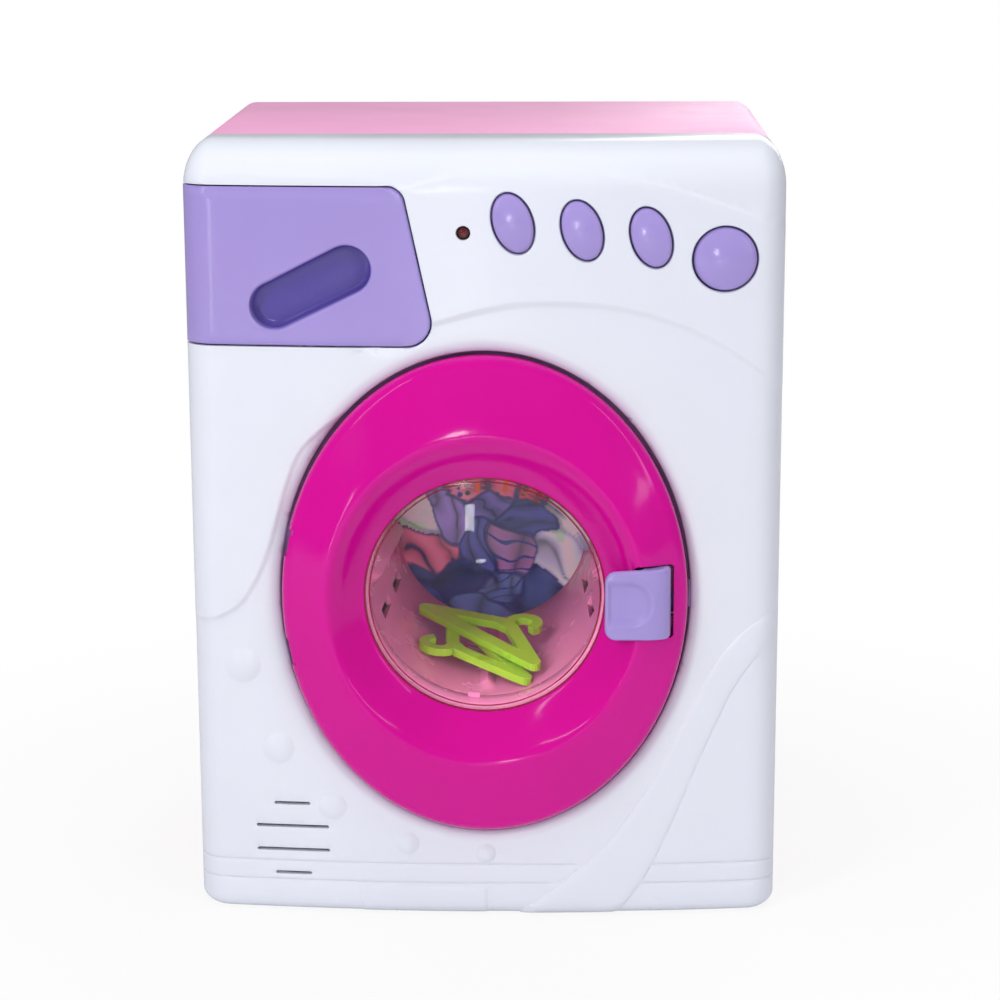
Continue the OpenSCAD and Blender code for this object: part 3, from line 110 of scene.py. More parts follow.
def side_of(P, line):
    """Signed distance of points from a line: positive to the left of its direction."""
    best, sign = np.full(len(P), 1e9), np.ones(len(P))
    for a, b in zip(line[:-1], line[1:]):
        d, v = b - a, P - a
        t = np.clip(v @ d / (d @ d), 0, 1)
        dist = np.hypot(*(P - (a + t[:, None] * d)).T)
        near = dist < best - 1e-9
        best[near] = dist[near]
        sign[near] = np.sign(d[0] * v[near, 1] - d[1] * v[near, 0])
    return best * sign


def ramp(v, a, b):
    """0 up to a and 1 from b on, soft at both ends."""
    t = np.clip((v - a) / (b - a), 0, 1)
    return t * t * (3 - 2 * t)


def circle(t):
    """Height of the unit circle at t, and 0 beyond it."""
    return np.sqrt(np.clip(1 - np.square(t), 0, 1))


def quarter(t):
    """0 at t = 0, rising at once and level at t = 1, as a rounded edge."""
    return circle(1 - np.clip(t, 0, 1))


def fall(d, r):
    """How far an edge rounded with radius r falls back at distance d from its line."""
    return r - r * quarter(d / r)


def inside(P, poly):
    """True for points inside a closed outline."""
    x, z = P.T
    hit = np.zeros(len(P), bool)
    for (ax, az), (bx, bz) in zip(poly, np.roll(poly, -1, axis=0)):
        if az != bz:
            hit ^= ((az > z) != (bz > z)) & (x < (bx - ax) * (z - az) / (bz - az) + ax)
    return hit


def beyond(P, poly):
    """Distance beyond a closed outline, negative inside."""
    d = np.abs(side_of(P, np.vstack([poly, poly[:1]])))
    return np.where(inside(P, poly), -d, d)


def ellipse(cx, cz, a, b, n, tilt=0):
    t = np.arange(n) * 2 * pi / n
    c, s = cos(radians(tilt)), sin(radians(tilt))
    x, z = a * np.cos(t), b * np.sin(t)
    return stack([cx + c * x - s * z, cz + s * x + c * z])


def arc(cx, cz, r, start, end, n, rz=None):
    """A list of points on a circle, or on an oval whose upright radius is rz, between two angles."""
    return [(cx + r * cos(u), cz + (rz or r) * sin(u)) for u in np.linspace(start, end, n)]


def pill(a, b):
    """Outline round two circles given as x, z, radius."""
    t = atan2(b[1] - a[1], b[0] - a[0])
    return resample(arc(*a, t + pi / 2, t + 3 * pi / 2, 22) + arc(*b, t - pi / 2, t + pi / 2, 22), 1.2)


def resample(poly, step, closed=True):
    """The same outline at an even step."""
    p = np.array(list(poly) + list(poly[:1]) if closed else poly)
    seg = np.hypot(*np.diff(p, axis=0).T)
    s = np.concatenate([[0], np.cumsum(seg)])
    at = np.linspace(0, s[-1], max(4, int(round(s[-1] / step))) + 1)
    out = stack([np.interp(at, s, p[:, 0]), np.interp(at, s, p[:, 1])])
    return out[:-1] if closed else out


def between(a, b, step=1.4):
    """Points on a straight line, without its ends."""
    return [tuple(p) for p in resample(np.array([a, b]), step, False)[1:-1]]


def grown(poly, d):
    """An outline that runs anticlockwise, moved outwards by d along its own normals."""
    t = np.roll(poly, -1, axis=0) - np.roll(poly, 1, axis=0)
    return poly + d * stack([t[:, 1], -t[:, 0]]) / np.hypot(*t.T)[:, None]


def rows_beside(line, offsets):
    """Rows beside an open line."""
    t = np.gradient(line, axis=0)
    n = stack([-t[:, 1], t[:, 0]]) / np.hypot(*t.T)[:, None]
    return [line + d * n for d in offsets]


def drawer_edge(gap):
    """The drawer's outline on the front: round its lower and its upper right corner. The caller adds the rest."""
    (hx, hz, hr), (lx, lz, lr) = DRAWER_CORNERS
    slant = atan2(hx - lx, hz - lz)
    return arc(lx, lz, lr + gap, -pi / 2, -slant, 14), arc(hx, hz, hr + gap, -slant, pi / 2, 10)


def drawer_region(gap):
    """The drawer's outline, closed far out on the left."""
    low, high = drawer_edge(gap)
    return np.array([(-120, DRAWER_LOW - gap)] + low + high + [(-120, DRAWER_TOP + gap)])


def slot_outline(x0, x1, z, r=0.55):
    xs = np.linspace(x0 + r, x1 - r, 9)[1:-1]
    left, right = arc(x0 + r, z, r, pi / 2, 3 * pi / 2, 7), arc(x1 - r, z, r, -pi / 2, pi / 2, 7)
    return np.array(left + [(x, z - r) for x in xs] + right + [(x, z + r) for x in xs[::-1]])


WELL = ellipse(0, DOOR_Z, WELL_A, WELL_B, 200)
HOLES = [ellipse(x, z, a + 0.6, b + 0.6, 72, t) for x, z, a, b, t in BUTTONS]
LED_HOLE = ellipse(*LED, 2.25, 2.25, 32)
SLOT_HOLES = [slot_outline(*s) for s in SLOTS]
DRAWER_REGION = drawer_region(GAP)


def face_y(x):
    return BOW_R - np.sqrt(BOW_R ** 2 - np.square(x))


def plain_y(P):
    """Depth of the front before any relief."""
    x, z = P.T
    # w is how far a point is into the rounded edge: 0 on the flat front, 1 on the outline
    u = np.clip((np.abs(x) - FLAT_X) / ROUND_X, 0, 1)
    high = np.clip((z - FLAT_HIGH) / ROUND_HIGH, 0, 1)
    v = high + np.clip((FLAT_LOW - z) / ROUND_LOW, 0, 1)
    w = np.clip(np.hypot(u, v), 0, 1)
    turn = np.arctan2(v, np.maximum(u, 1e-9)) / (pi / 2)
    deep = np.where(high > 0, ROUND_HIGH, ROUND_LOW)
    return face_y(x) + (ROUND_DEEP + (deep - ROUND_DEEP) * ramp(turn, 0, 1)) * (1 - circle(w))


def relief(P):
    """How far the panel, the ribbon, the bubbles and the rim stand in front of the plain front."""
    x, z = P.T
    step, bead, sink = 0.9, 1.2, 0.55  # the panel's height, the bubbles' and the grooves' depth
    to_right = ramp(x, 5, 70)
    d_top = np.interp(x, *PANEL_TOP.T) - z
    h = step * ramp(d_top, 0, 1.3) * ramp(z, np.interp(x, *BAND_LOW.T), np.interp(x, *BAND_UP.T))
    # the lower left region lies a step deeper, and the step fades out under the ribbon
    left = ramp(-side_of(P, CORNER_EDGE), 0, 2) * (z < 175)
    h = h - step * left * (1 - to_right) * (1 - ramp(z, 168, 176))
    # the ribbon, rounded along both edges
    du, dl = side_of(P, RIBBON_UP), side_of(P, RIBBON_LOW)
    lift = 0.5 + 1.1 * (1 - to_right)
    h = h + lift * quarter(du / 2.6) * quarter(-dl / 3.2) * (du > 0) * (dl < 0)
    # two shallow grooves along the bottom, stopped by the ribbon
    free = 1 - (1 - ramp(-du, 0.3, 1.5)) * (1 - ramp(dl, 0.3, 1.5))
    for z0 in GROOVES:
        h = h - sink * np.exp(-np.square((z - z0) / 0.42)) * free
    # the raised rectangle under them
    h = h + sink * ramp(x, -41.2, -40) * (1 - ramp(x, -0.6, 0.6)) * (1 - ramp(z, 9.4, 10.6))
    for bx, bz, r in BUBBLES:
        big = (r * r + bead ** 2) / (2 * bead)
        q = np.square(x - bx) + np.square(z - bz)
        h = h + np.where(q < r * r, np.sqrt(np.maximum(big * big - q, 0)) - (big - bead), 0)
    return h


def front_shape(P):
    """Depth of the shell's front, with its relief, the dished rim round the door and softened hole edges."""
    y = plain_y(P) - relief(P)
    y = y + 1.35 * np.clip(1 - beyond(P, WELL) / 4.3, 0, 1) ** 1.7
    soft = [(WELL, 0.5), (DRAWER_REGION, 0.5), (LED_HOLE, 0.3)]
    for loop, r in soft + [(h, 0.45) for h in HOLES] + [(h, 0.2) for h in SLOT_HOLES]:
        near = np.all((P > loop.min(0) - 1) & (P < loop.max(0) + 1), axis=1)
        y[near] += fall(beyond(P[near], loop), r)
    return y


# ---- mesh building
def place(v):
    """Design millimetres to the row frame's metres."""
    return (np.asarray(v, float) - (0, SHIFT, 0)) / 1000


def design_points(o):
    """A mesh's vertices back in the design frame."""
    co = np.zeros(len(o.data.vertices) * 3)
    o.data.vertices.foreach_get("co", co)
    return co.reshape(-1, 3) * 1000 + (0, SHIFT, 0)


def add_object(name, data):
    o = bpy.data.objects.new(name, data)
    bpy.context.scene.collection.objects.link(o)
    return o


def triangulate(outer, holes, spacing, rows=()):
    """Triangles over the area inside an outline and outside its holes. Rows are extra points, and the rest is an
    even grid. The first points returned are the outline's and the holes', in order."""
    loops = [np.asarray(loop, float) for loop in [outer] + holes]
    fixed = np.vstack(loops)
    edges, ranges = [], []
    for loop in loops:
        at = len(edges) + np.arange(len(loop))
        ranges.append(at)
        edges += zip(at.tolist(), np.roll(at, -1).tolist())

    def within(P):
        ok = inside(P, loops[0])
        for h in loops[1:]:
            ok &= ~inside(P, h)
        return ok

    def free(P, others, gap):
        """The points inside the area that keep that gap from the others."""
        tree = KDTree(len(others))
        for i, q in enumerate(others):
            tree.insert((*q, 0), i)
        tree.balance()
        return np.array([p for p in P[within(P)] if tree.find((*p, 0))[2] > gap]).reshape(-1, 2)

    extra = np.zeros((0, 2))
    if len(rows):
        extra = free(np.vstack(rows), fixed, 0.22)
        # thin out extra points that lie on each other
        cell = np.unique(np.round(extra / 0.25).astype(int), axis=0, return_index=True)[1]
        extra = extra[np.sort(cell)]
    lo, hi = loops[0].min(0), loops[0].max(0)
    gx, gz = np.meshgrid(np.arange(lo[0], hi[0], spacing), np.arange(lo[1], hi[1], spacing * 0.866))
    gx = gx + (np.arange(len(gz))[:, None] % 2) * spacing / 2
    grid = free(stack([gx.ravel(), gz.ravel()]), np.vstack([fixed, extra]), spacing * 0.45)
    P = np.vstack([fixed, extra, grid])
    verts, _, tris, origin = delaunay_2d_cdt([Vector(p) for p in P], edges, [], 0, 1e-5, True)[:4]
    verts, tris = np.array(verts), np.array(tris)
    tris = tris[within(verts[tris].mean(1))]
    # the outlines' points first, and then the rest
    new_of = {old: new for new, olds in enumerate(origin) for old in olds}
    first = [new_of[i] for i in range(len(fixed))]
    order = np.concatenate([first, np.setdiff1d(np.arange(len(verts)), first)])
    return verts[order], np.argsort(order)[tris], ranges


class Build:
    """Gathers vertices and faces of one piece."""

    def __init__(self):
        self.v, self.f = [], []

    def add(self, verts):
        """New vertices; gives their numbers."""
        at = sum(map(len, self.v))
        self.v.append(verts)
        return np.arange(at, at + len(verts))

    def faces(self, faces):
        self.f += [tuple(int(i) for i in f) for f in faces]

    def sheet(self, depth, outer, holes, spacing, rows=(), rim=None):
        """Faces over an area, at a depth or at what a function gives. A rim's vertices stand in for the outline's.
        Gives the numbers along the outline and each hole."""
        verts, tris, ranges = triangulate(outer, holes, spacing, rows)
        ids = self.add(ring3(verts, depth(verts) if callable(depth) else depth))
        if rim is not None:
            ids[ranges[0]] = rim
        self.faces(ids[tris])
        return [ids[r] for r in ranges]

    def strip(self, a, b, closed=True):
        """Quads between two rows of the same count."""
        if closed:
            a, b = [*a, a[0]], [*b, b[0]]
        self.faces(zip(a[:-1], a[1:], b[1:], b[:-1]))

    def loft(self, rows, closed=True):
        """Strips over rows of new points or of numbers of vertices; gives the numbers."""
        ids = [r if getattr(r, "dtype", float) == int else self.add(r) for r in rows]
        for a, b in zip(ids[:-1], ids[1:]):
            self.strip(a, b, closed)
        return ids

    def cap(self, *rings):
        """A fan over each ring, with its own middle point."""
        for ring in rings:
            c = self.add([np.vstack(self.v)[ring].mean(0)])[0]
            self.faces(zip(ring, np.roll(ring, -1), [c] * len(ring)))

    def wall_in(self, ring, depth, dirs=(0, 1, 0)):
        """A wall back from a hole's edge."""
        self.strip(ring, self.add(np.vstack(self.v)[ring] + np.array(dirs) * depth))

    def make(self, name, body, material, sharp=40, clean=0):
        me = bpy.data.meshes.new(name)
        me.from_pydata(place(np.vstack(self.v)).tolist(), [], self.f)
        me.materials.append(material)
        bm = bmesh.new()
        bm.from_mesh(me)
        if clean:
            bmesh.ops.remove_doubles(bm, verts=bm.verts, dist=clean / 1000)
        bmesh.ops.recalc_face_normals(bm, faces=bm.faces)
        smooth(bm, me, sharp)
        o = add_object(name, me)
        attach(o, body)
        return o


def smooth(bm, me, sharp):
    """Shades all faces smooth, apart from edges sharper than that angle, and writes the mesh."""
    for f in bm.faces:
        f.smooth = True
    for e in bm.edges:
        e.smooth = not (len(e.link_faces) == 2 and e.calc_face_angle(0) > radians(sharp))
    bm.to_mesh(me)
    bm.free()


def skin(b, node, body, slot, sharp=40, clean=0):
    """Makes the piece that stands in for a node of the CAD."""
    o = b.make(node + "_skin", body, MAT[slot], sharp, clean)
    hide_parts(node)
    return o


def ring3(P, y):
    """A row of points at x, z with their depths."""
    P = np.asarray(P, float)
    return stack([P[:, 0], np.broadcast_to(y, len(P)), P[:, 1]])


def lathe(b, profile, n=144, centre=(0, DOOR_Z), closed=False):
    """Turns radius, depth points round the drum's axis."""
    ids = b.loft([ring3(ellipse(*centre, r, r, n), y) for r, y in profile])
    if closed:
        b.strip(ids[-1], ids[0])
    return ids


def box_piece(b, lo, hi, r):
    """A block with chamfered edges."""
    (x0, y0, z0), (x1, y1, z1) = lo, hi
    rows = []
    for z, d in ((z0, r), (z0 + r, 0), (z1 - r, 0), (z1, r)):
        q, a, c, e, f = r * 0.8, x0 + d, x1 - d, y0 + d, y1 - d
        rows.append([(a + q, e, z), (c - q, e, z), (c, e + q, z), (c, f - q, z),
                     (c - q, f, z), (a + q, f, z), (a, f - q, z), (a, e + q, z)])
    ids = b.loft(rows)
    b.cap(ids[0], ids[-1])


def tube(b, x, y, rows):
    """Rings round an upright axis, as radius and z."""
    return b.loft([stack([ellipse(x, y, r, r, 32), np.full(32, z)]) for r, z in rows])


# ---- materials
class Tree:
    """A node tree, with short ways to add its nodes and feed their sockets."""

    def __init__(self, owner):
        owner.use_nodes = True
        self.owner, self.nodes, self.links = owner, owner.node_tree.nodes, owner.node_tree.links
        self.main = self.nodes.get("Principled BSDF")

    def feed(self, node, inputs):
        """Sets sockets to values, and links them where the value is another node's output."""
        for key, value in inputs.items():
            if isinstance(value, bpy.types.NodeSocket):
                self.links.new(value, node.inputs[key])
            else:
                node.inputs[key].default_value = value

    def add(self, kind, inputs={}, out=0, **facts):
        """Adds a node; gives one of its outputs."""
        node = self.nodes.new("ShaderNode" + kind)
        for key, value in facts.items():
            setattr(node, key, value)
        self.feed(node, inputs)
        return node.outputs[out]

    def span(self, value, lo, hi, to_lo=0, to_hi=1):
        return self.add("MapRange", {"Value": value, "From Min": lo, "From Max": hi, "To Min": to_lo, "To Max": to_hi})

    def mix(self, share, a, b, blend="MIX"):
        return self.add("Mix", {"Factor": share, 6: a, 7: b}, 2, data_type="RGBA", blend_type=blend)

    def noise(self, scale, detail, at, **more):
        return self.add("TexNoise", {"Scale": scale, "Detail": detail, "Vector": at, **more}, "Fac")

    def math(self, way, a, b, clamp=False):
        return self.add("Math", {0: a, 1: b}, operation=way, use_clamp=clamp)

    def surface(self, share, a, b):
        """Ends the tree with a mix of two shaders."""
        out = next(x for x in self.nodes if x.type.startswith("OUTPUT"))
        self.feed(out, {"Surface": self.add("MixShader", {0: share, 1: a, 2: b})})


def plastic(name, colour, rough, bump, grain, vary, wear=0.06, spec=0.5, coat=0, weight=0, deep=None, lines=None):
    """Moulded plastic: a little cloudiness in its colour, a fine orange peel, uneven gloss and paler worn edges.
    Painted shade: a deep colour shows low in a recess, where the mesh says so. With lines it is turned or drawn metal."""
    t = Tree(bpy.data.materials.new(name))
    base = np.array(colour)
    at = t.add("TexCoord", out="Object")
    cloud = t.add("ValToRGB", {"Fac": t.noise(28, 4, at)})
    for stop, place_at, k in zip(cloud.node.color_ramp.elements, (0.3, 0.7), (1 - vary, 1 + vary)):
        stop.position, stop.color = place_at, (*np.clip(base * k, 0, 1), 1)
    edges = t.span(t.add("NewGeometry", out="Pointiness"), 0.52, 0.62, 0, wear)
    shade = t.mix(edges, cloud, (*np.clip(base * 1.25 + 0.12, 0, 1), 1))
    # painted shade: the deep colour darkens a recess, by how deep the mesh says it lies
    if deep:
        shade = t.mix(t.math("MULTIPLY", t.add("Attribute", out="Fac", attribute_name="recess_shade"), 0.95), shade, (*deep, 1))
    fine = t.noise(grain, 3, t.add("Mapping", {"Vector": at, "Scale": lines}) if lines else at)
    smear = t.noise(65, 6, at, Roughness=0.6)
    t.feed(t.main, {
        "Base Color": shade, "Roughness": t.span(smear, 0.35, 0.7, rough * 0.9, rough * 1.12),
        "Normal": t.add("Bump", {"Strength": bump, "Distance": 0.0003, "Height": fine}),
        "Specular IOR Level": spec, "Coat Weight": coat, "Coat Roughness": 0.06, "Metallic": 1 if lines else 0})
    if weight:
        t.feed(t.main, {"Subsurface Weight": weight, "Subsurface Radius": (0.002, 0.002, 0.001)})
    return t.owner


def rgb(r, g, b):
    """An sRGB colour of 0 to 255 as linear values."""
    return tuple(((c / 255) / 12.92 if c <= 10 else ((c / 255 + 0.055) / 1.055) ** 2.4) for c in (r, g, b))


METAL = dict(wear=0.1, lines=(1, 1, 14))
# each one's colour, roughness, bump, grain and cloudiness, and what else it needs
MAT = {name: plastic(name, rgb(r, g, b), *looks, **more) for name, r, g, b, *looks, more in (
    ("white_shell", 228, 231, 241, 0.22, 0.04, 700, 0.012, dict(wear=0.02, spec=0.45)),
    ("pink_shell", 245, 172, 213, 0.4, 0.16, 1500, 0.03, dict(wear=0.05, spec=0.4)),
    ("magenta", 210, 5, 146, 0.09, 0.03, 500, 0.03, dict(wear=0.03, spec=0.28)),
    # the lilac's deep colour is painted shade low in the drawer's handle recess
    ("lilac", 164, 146, 212, 0.16, 0.08, 900, 0.03, dict(wear=0.1, deep=rgb(82, 68, 156))),
    ("lilac_tray", 182, 170, 222, 0.42, 0.12, 900, 0.03, {}),
    ("drum_pink", 229, 134, 178, 0.26, 0.06, 500, 0.04, dict(wear=0.05, weight=0.2)),
    ("lime", 158, 203, 48, 0.3, 0.08, 800, 0.06, dict(weight=0.25)),
    ("inner_plastic", 214, 216, 226, 0.45, 0.1, 800, 0.03, {}),
    ("gear_plastic", 236, 231, 214, 0.38, 0.1, 900, 0.04, {}),
    ("steel", 188, 190, 196, 0.26, 0.12, 700, 0.08, METAL),
    ("screw_steel", 150, 152, 160, 0.34, 0.12, 700, 0.08, dict(wear=0.1, lines=(6, 1, 6))),
    ("brass", 206, 168, 84, 0.3, 0.12, 700, 0.08, METAL),
    ("motor_metal", 182, 184, 190, 0.36, 0.12, 700, 0.08, METAL),
    ("cell_metal", 84, 90, 104, 0.36, 0.05, 400, 0.05, dict(wear=0.15)),
    ("board", 38, 112, 72, 0.35, 0.2, 1600, 0.1, {}),
    ("black_parts", 32, 32, 36, 0.5, 0.15, 900, 0.15, {}),
    ("rubber_grey", 132, 134, 142, 0.65, 0.2, 1200, 0.06, dict(spec=0.25)),
    ("led_red", 96, 8, 16, 0.12, 0.02, 300, 0.1, dict(coat=0.6)),
    ("magnet", 60, 60, 64, 0.5, 0.12, 700, 0.08, METAL),
    ("paper_black", 38, 38, 42, 0.85, 0.5, 1800, 0.12, dict(spec=0.15)),
    ("lead_red", 170, 26, 32, 0.45, 0.08, 900, 0.06, {}),
    ("lead_blue", 40, 78, 160, 0.45, 0.08, 900, 0.06, {}),
    ("lead_black", 38, 38, 42, 0.45, 0.08, 900, 0.06, {}),
    # dark red for the painted refraction rings at the window's edge
    ("refraction_red", 140, 6, 44, 0.2, 0.04, 600, 0.1, {}),
)}


def clear_material():
    """Clear styrene for the window: hardly coloured, with faint smears in its gloss."""
    t = Tree(bpy.data.materials.new("window"))
    smear = t.noise(45, 6, t.add("TexCoord", out="Object"))
    t.feed(t.main, {"Base Color": (0.98, 0.985, 1, 1), "Transmission Weight": 1, "IOR": 1.25,
                    "Roughness": t.span(smear, 0.45, 0.75, 0, 0.05)})
    t.surface(t.add("LightPath", out="Is Shadow Ray"), t.main.outputs[0], t.add("BsdfTransparent"))
    return t.owner


def paint_door_glow_and_gap_shade(m):
    """Painted light and shade on the white shell: the door's violet reflection painted over the dished rim, and a
    painted violet shade strongest in the gap round the door.
    """
    t = Tree(m)
    # 1 on the edge of the well, from metres
    oval = t.add("VectorMath", {0: t.add("TexCoord", out="Object"), 1: (1000 / WELL_A, 0, 1000 / WELL_B),
                                2: (0, 0, -DOOR_Z / WELL_B)}, operation="MULTIPLY_ADD")
    tint = t.add("ValToRGB", {"Fac": t.span(t.add("VectorMath", {0: oval}, "Value", operation="LENGTH"), 0.94, 1.06)})
    stops = tint.node.color_ramp.elements
    for place_at, share in ((0.29, 0.75), (0.5, 0.75), (0.53, 0.4), (0.7, 0.12)):
        stops.new(place_at).color = (share, share, share, 1)
    stops[0].color = stops[-1].color = (0, 0, 0, 1)
    stops[-1].position = 0.92
    plain = t.main.inputs["Base Color"].links[0].from_socket
    # violet painted over the base colour: painted reflection of the door on the rim, painted shade in the gap
    t.feed(t.main, {"Base Color": t.mix(tint, plain, (*rgb(150, 80, 165), 1))})


MAT["window"] = clear_material()
paint_door_glow_and_gap_shade(MAT["white_shell"])


# ---- front shell
LEVELS = [sin(radians(a)) for a in (17.5, 25, 33, 41, 49, 57, 65, 73, 81, 90)]


def spread(a, b, marks=(), step=2.2):
    """Even places from a to b, with closer ones round the marks."""
    s = list(np.linspace(a, b, max(1, int(round(abs(b - a) / step))) + 1))
    lo, hi = min(a, b), max(a, b)
    s += [m + d for m in marks for d in (-1.2, -0.7, -0.35, 0, 0.35, 0.7, 1.2) if lo < m + d < hi]
    s = np.unique(np.round(s, 3))
    keep = [s[0]]
    for v in s[1:]:
        if v - keep[-1] > 0.25:
            keep.append(v)
    keep[-1] = s[-1]
    return np.array(keep if b > a else keep[::-1])


def case_chain(w, open_side=True, inset=0):
    """The case's outline at level w of its rounding: closed, or from under the drawer down the left side, along the
    bottom, up the right side and back over the top to the drawer."""
    x, lo, hi, turn = FLAT_X, FLAT_LOW, FLAT_HIGH, pi / 2
    s, rl, rh = ROUND_X * w - inset, ROUND_LOW * w - inset, ROUND_HIGH * w - inset
    out = [(-x - s, z) for z in spread(DRAWER_LOW - GAP if open_side else hi, lo, (*GROOVES, 100))[:-1]]
    out += arc(-x, lo, -s, 0, turn, 9, -rl)[:-1]
    out += [(v, lo - rl) for v in spread(-x, x, (-40.6, 0, 12, 41.5, 45))[:-1]]
    out += arc(x, lo, s, turn, 0, 9, -rl)[:-1]
    out += [(x + s, z) for z in spread(lo, hi, (*GROOVES, 95, 101, 176, 231))[:-1]]
    out += arc(x, hi, s, 0, turn, 13, rh)[:-1]
    out += [(v, hi + rh) for v in spread(x, -x)[:-1]]
    out += arc(-x, hi, -s, turn, asin(min(1, (DRAWER_TOP + GAP - hi) / rh)) if open_side else 0, 13, rh)
    return np.array(out if open_side else out[:-1])


def front_rows():
    """Extra points along everything that stands up or dips on the front."""
    rows = rows_beside(PANEL_TOP, (0.15, 0, -0.35, -0.7, -1, -1.4))
    up, low = resample(BAND_UP, 1.4, False), resample(BAND_LOW, 1.4, False)
    rise = np.interp(low[:, 0], *up.T) - low[:, 1]
    rows += [stack([low[:, 0], low[:, 1] + t * rise]) for t in (-0.1, 0, 0.2, 0.4, 0.6, 0.8, 1, 1.1)]
    rows += rows_beside(CORNER_EDGE, (0.2, 0, -0.5, -1, -1.5, -2.1))
    rows += rows_beside(RIBBON_UP, (-0.3, 0, 0.12, 0.4, 0.9, 1.7, 2.7))
    rows += rows_beside(RIBBON_LOW, (0.3, 0, -0.12, -0.5, -1.2, -2.2, -3.3))
    beside = [z0 + d for z0 in GROOVES for d in (-1, -0.55, -0.25, 0, 0.25, 0.55, 1)]
    rows.append([(x, z) for z in beside for x in np.arange(-88, 88.1, 1.6)])
    rows.append([(x, z) for z in (9.2, 9.7, 10.2, 10.8) for x in np.arange(-42, 2, 1.5)])
    rows.append([(x, z) for x in (-41.4, -40.9, -40.4, -39.8, -0.8, -0.3, 0.3, 0.8) for z in np.arange(2.5, 10, 1.2)])
    rings = ((0.25, 8), (0.5, 14), (0.7, 20), (0.86, 26), (0.95, 30), (1, 32), (1.05, 32))
    rows += [ellipse(x, z, r * k, r * k, n) for x, z, r in BUBBLES for k, n in rings]
    rows += [grown(WELL, d) for d in (0.12, 0.3, 0.55, 1.1, 1.8, 2.7, 3.6, 4.4)]
    rows += [grown(h, d) for h in HOLES + [LED_HOLE] for d in (0.12, 0.28, 0.5, 0.95)]
    rows += [grown(h, 0.28) for h in SLOT_HOLES]
    return rows + [resample(drawer_region(GAP + d)[1:-1], 1, False) for d in (0.12, 0.3, 0.55, 1.2)]


def make_front_shell():
    b = Build()
    chains = [case_chain(w) for w in LEVELS]
    chain, outline = chains[0], chains[-1]
    low, high = drawer_edge(GAP)
    notch = [(x, DRAWER_LOW - GAP) for x in np.linspace(chain[0][0], low[0][0], 34)[1:-1]] + low
    notch += between(low[-1], high[0]) + high
    notch += [(x, DRAWER_TOP + GAP) for x in np.linspace(high[-1][0], chain[-1][0], 30)[1:-1]]
    outer = np.vstack([chain, notch[::-1]])
    ids, well, *holes = b.sheet(front_shape, outer, [WELL] + HOLES + [LED_HOLE] + SLOT_HOLES, 2.3, front_rows())
    rows = b.loft([ids[:len(chain)]] + [ring3(P, front_shape(P)) for P in chains[1:]], False)
    # side walls down to the seam, closed along the drawer's side
    zs = np.linspace(outline[-1][1], outline[0][1], 24)[1:-1]
    side = stack([-FLAT_X - ROUND_X * circle(np.maximum(zs - FLAT_HIGH, 0) / ROUND_HIGH), zs])
    extra = b.add(ring3(side, plain_y(side)))
    lip = ((0, SEAM - 0.45), (0.12, SEAM - 0.15), (0.4, SEAM), (WALL, SEAM), (WALL, SEAM - 8))
    P = np.vstack([outline, side])
    b.loft([np.concatenate([rows[-1], extra])] + [ring3(grown(P, -d), y) for d, y in lip])
    # edges of the drawer's opening
    loop = np.concatenate([ids[len(chain):][::-1], [r[-1] for r in rows], extra, [r[0] for r in rows[::-1]]])
    w = np.array([0] * len(notch) + LEVELS + [1] * len(extra) + LEVELS[::-1])
    b.wall_in(loop, WALL, stack([w, circle(w), 0 * w]))
    # door well: wall, rounded foot and floor with the mouth and the latch's slot
    foot = [ellipse(0, DOOR_Z, WELL_A - d, WELL_B - d, 200) for d in (0.05, 0.3, 0.9)]
    b.loft([well] + [ring3(P, WELL_Y - d) for P, d in zip(foot, (0.9, 0.25, 0))])
    slot = [(54.6, 102.2), (58, 102.2), (61.5, 102.2), (64.2, 102.2), (64.6, 105), (64.8, 109), (64.6, 113),
            (64.2, 115.8), (61.5, 115.8), (58, 115.8), (54.6, 115.8), (54.6, 112), (54.6, 109), (54.6, 106)]
    _, mouth, slot = b.sheet(WELL_Y, foot[-1], [ellipse(0, DOOR_Z, 39.6, 39.6, 96), slot], 5)
    for ring, depth in ((mouth, 2), (slot, 2.2), *((h, WALL) for h in holes)):
        b.wall_in(ring, depth)
    # hinge brackets, and the small rib beside the latch's claw
    for z in HINGES:
        wall = ((1.05, -4), (2.3, -4), (2.6, -3.7), (2.6, 3.7), (2.3, 4), (1.05, 4))
        eye = tube(b, HINGE_X, 0, [(r, z + h) for r, h in wall])
        b.strip(eye[-1], eye[0])
        box_piece(b, (-59.6, 1.2, z - 3.8), (-56.4, WELL_Y + 0.2, z + 3.8), 0.3)
    box_piece(b, (65.35, 5, 104.3), (66.4, 6, 113.7), 0.3)
    skin(b, "front_shell", "case", "white_shell", clean=0.02)


# ---- rear shell
def cover_hole():
    """Outline round the battery cover: a rounded rectangle with the round ear of its screw on top."""
    x, lo, hi, ear_z, ear_r, e = 30.85 + GAP, 9.7 - GAP, 60.8 + GAP, 64, 5.8 + GAP, 2 + GAP / 2
    rect = []
    for cx, cz, a in ((x - e, lo + e, -90), (x - e, hi - e, 0), (e - x, hi - e, 90), (e - x, lo + e, 180)):
        rect += arc(cx, cz, e, radians(a), radians(a + 90), 9)
    a = atan2(hi - ear_z, sqrt(ear_r ** 2 - (hi - ear_z) ** 2))
    return resample(rect[:18] + arc(0, ear_z, ear_r, a, pi - a, 16) + rect[18:], 2)


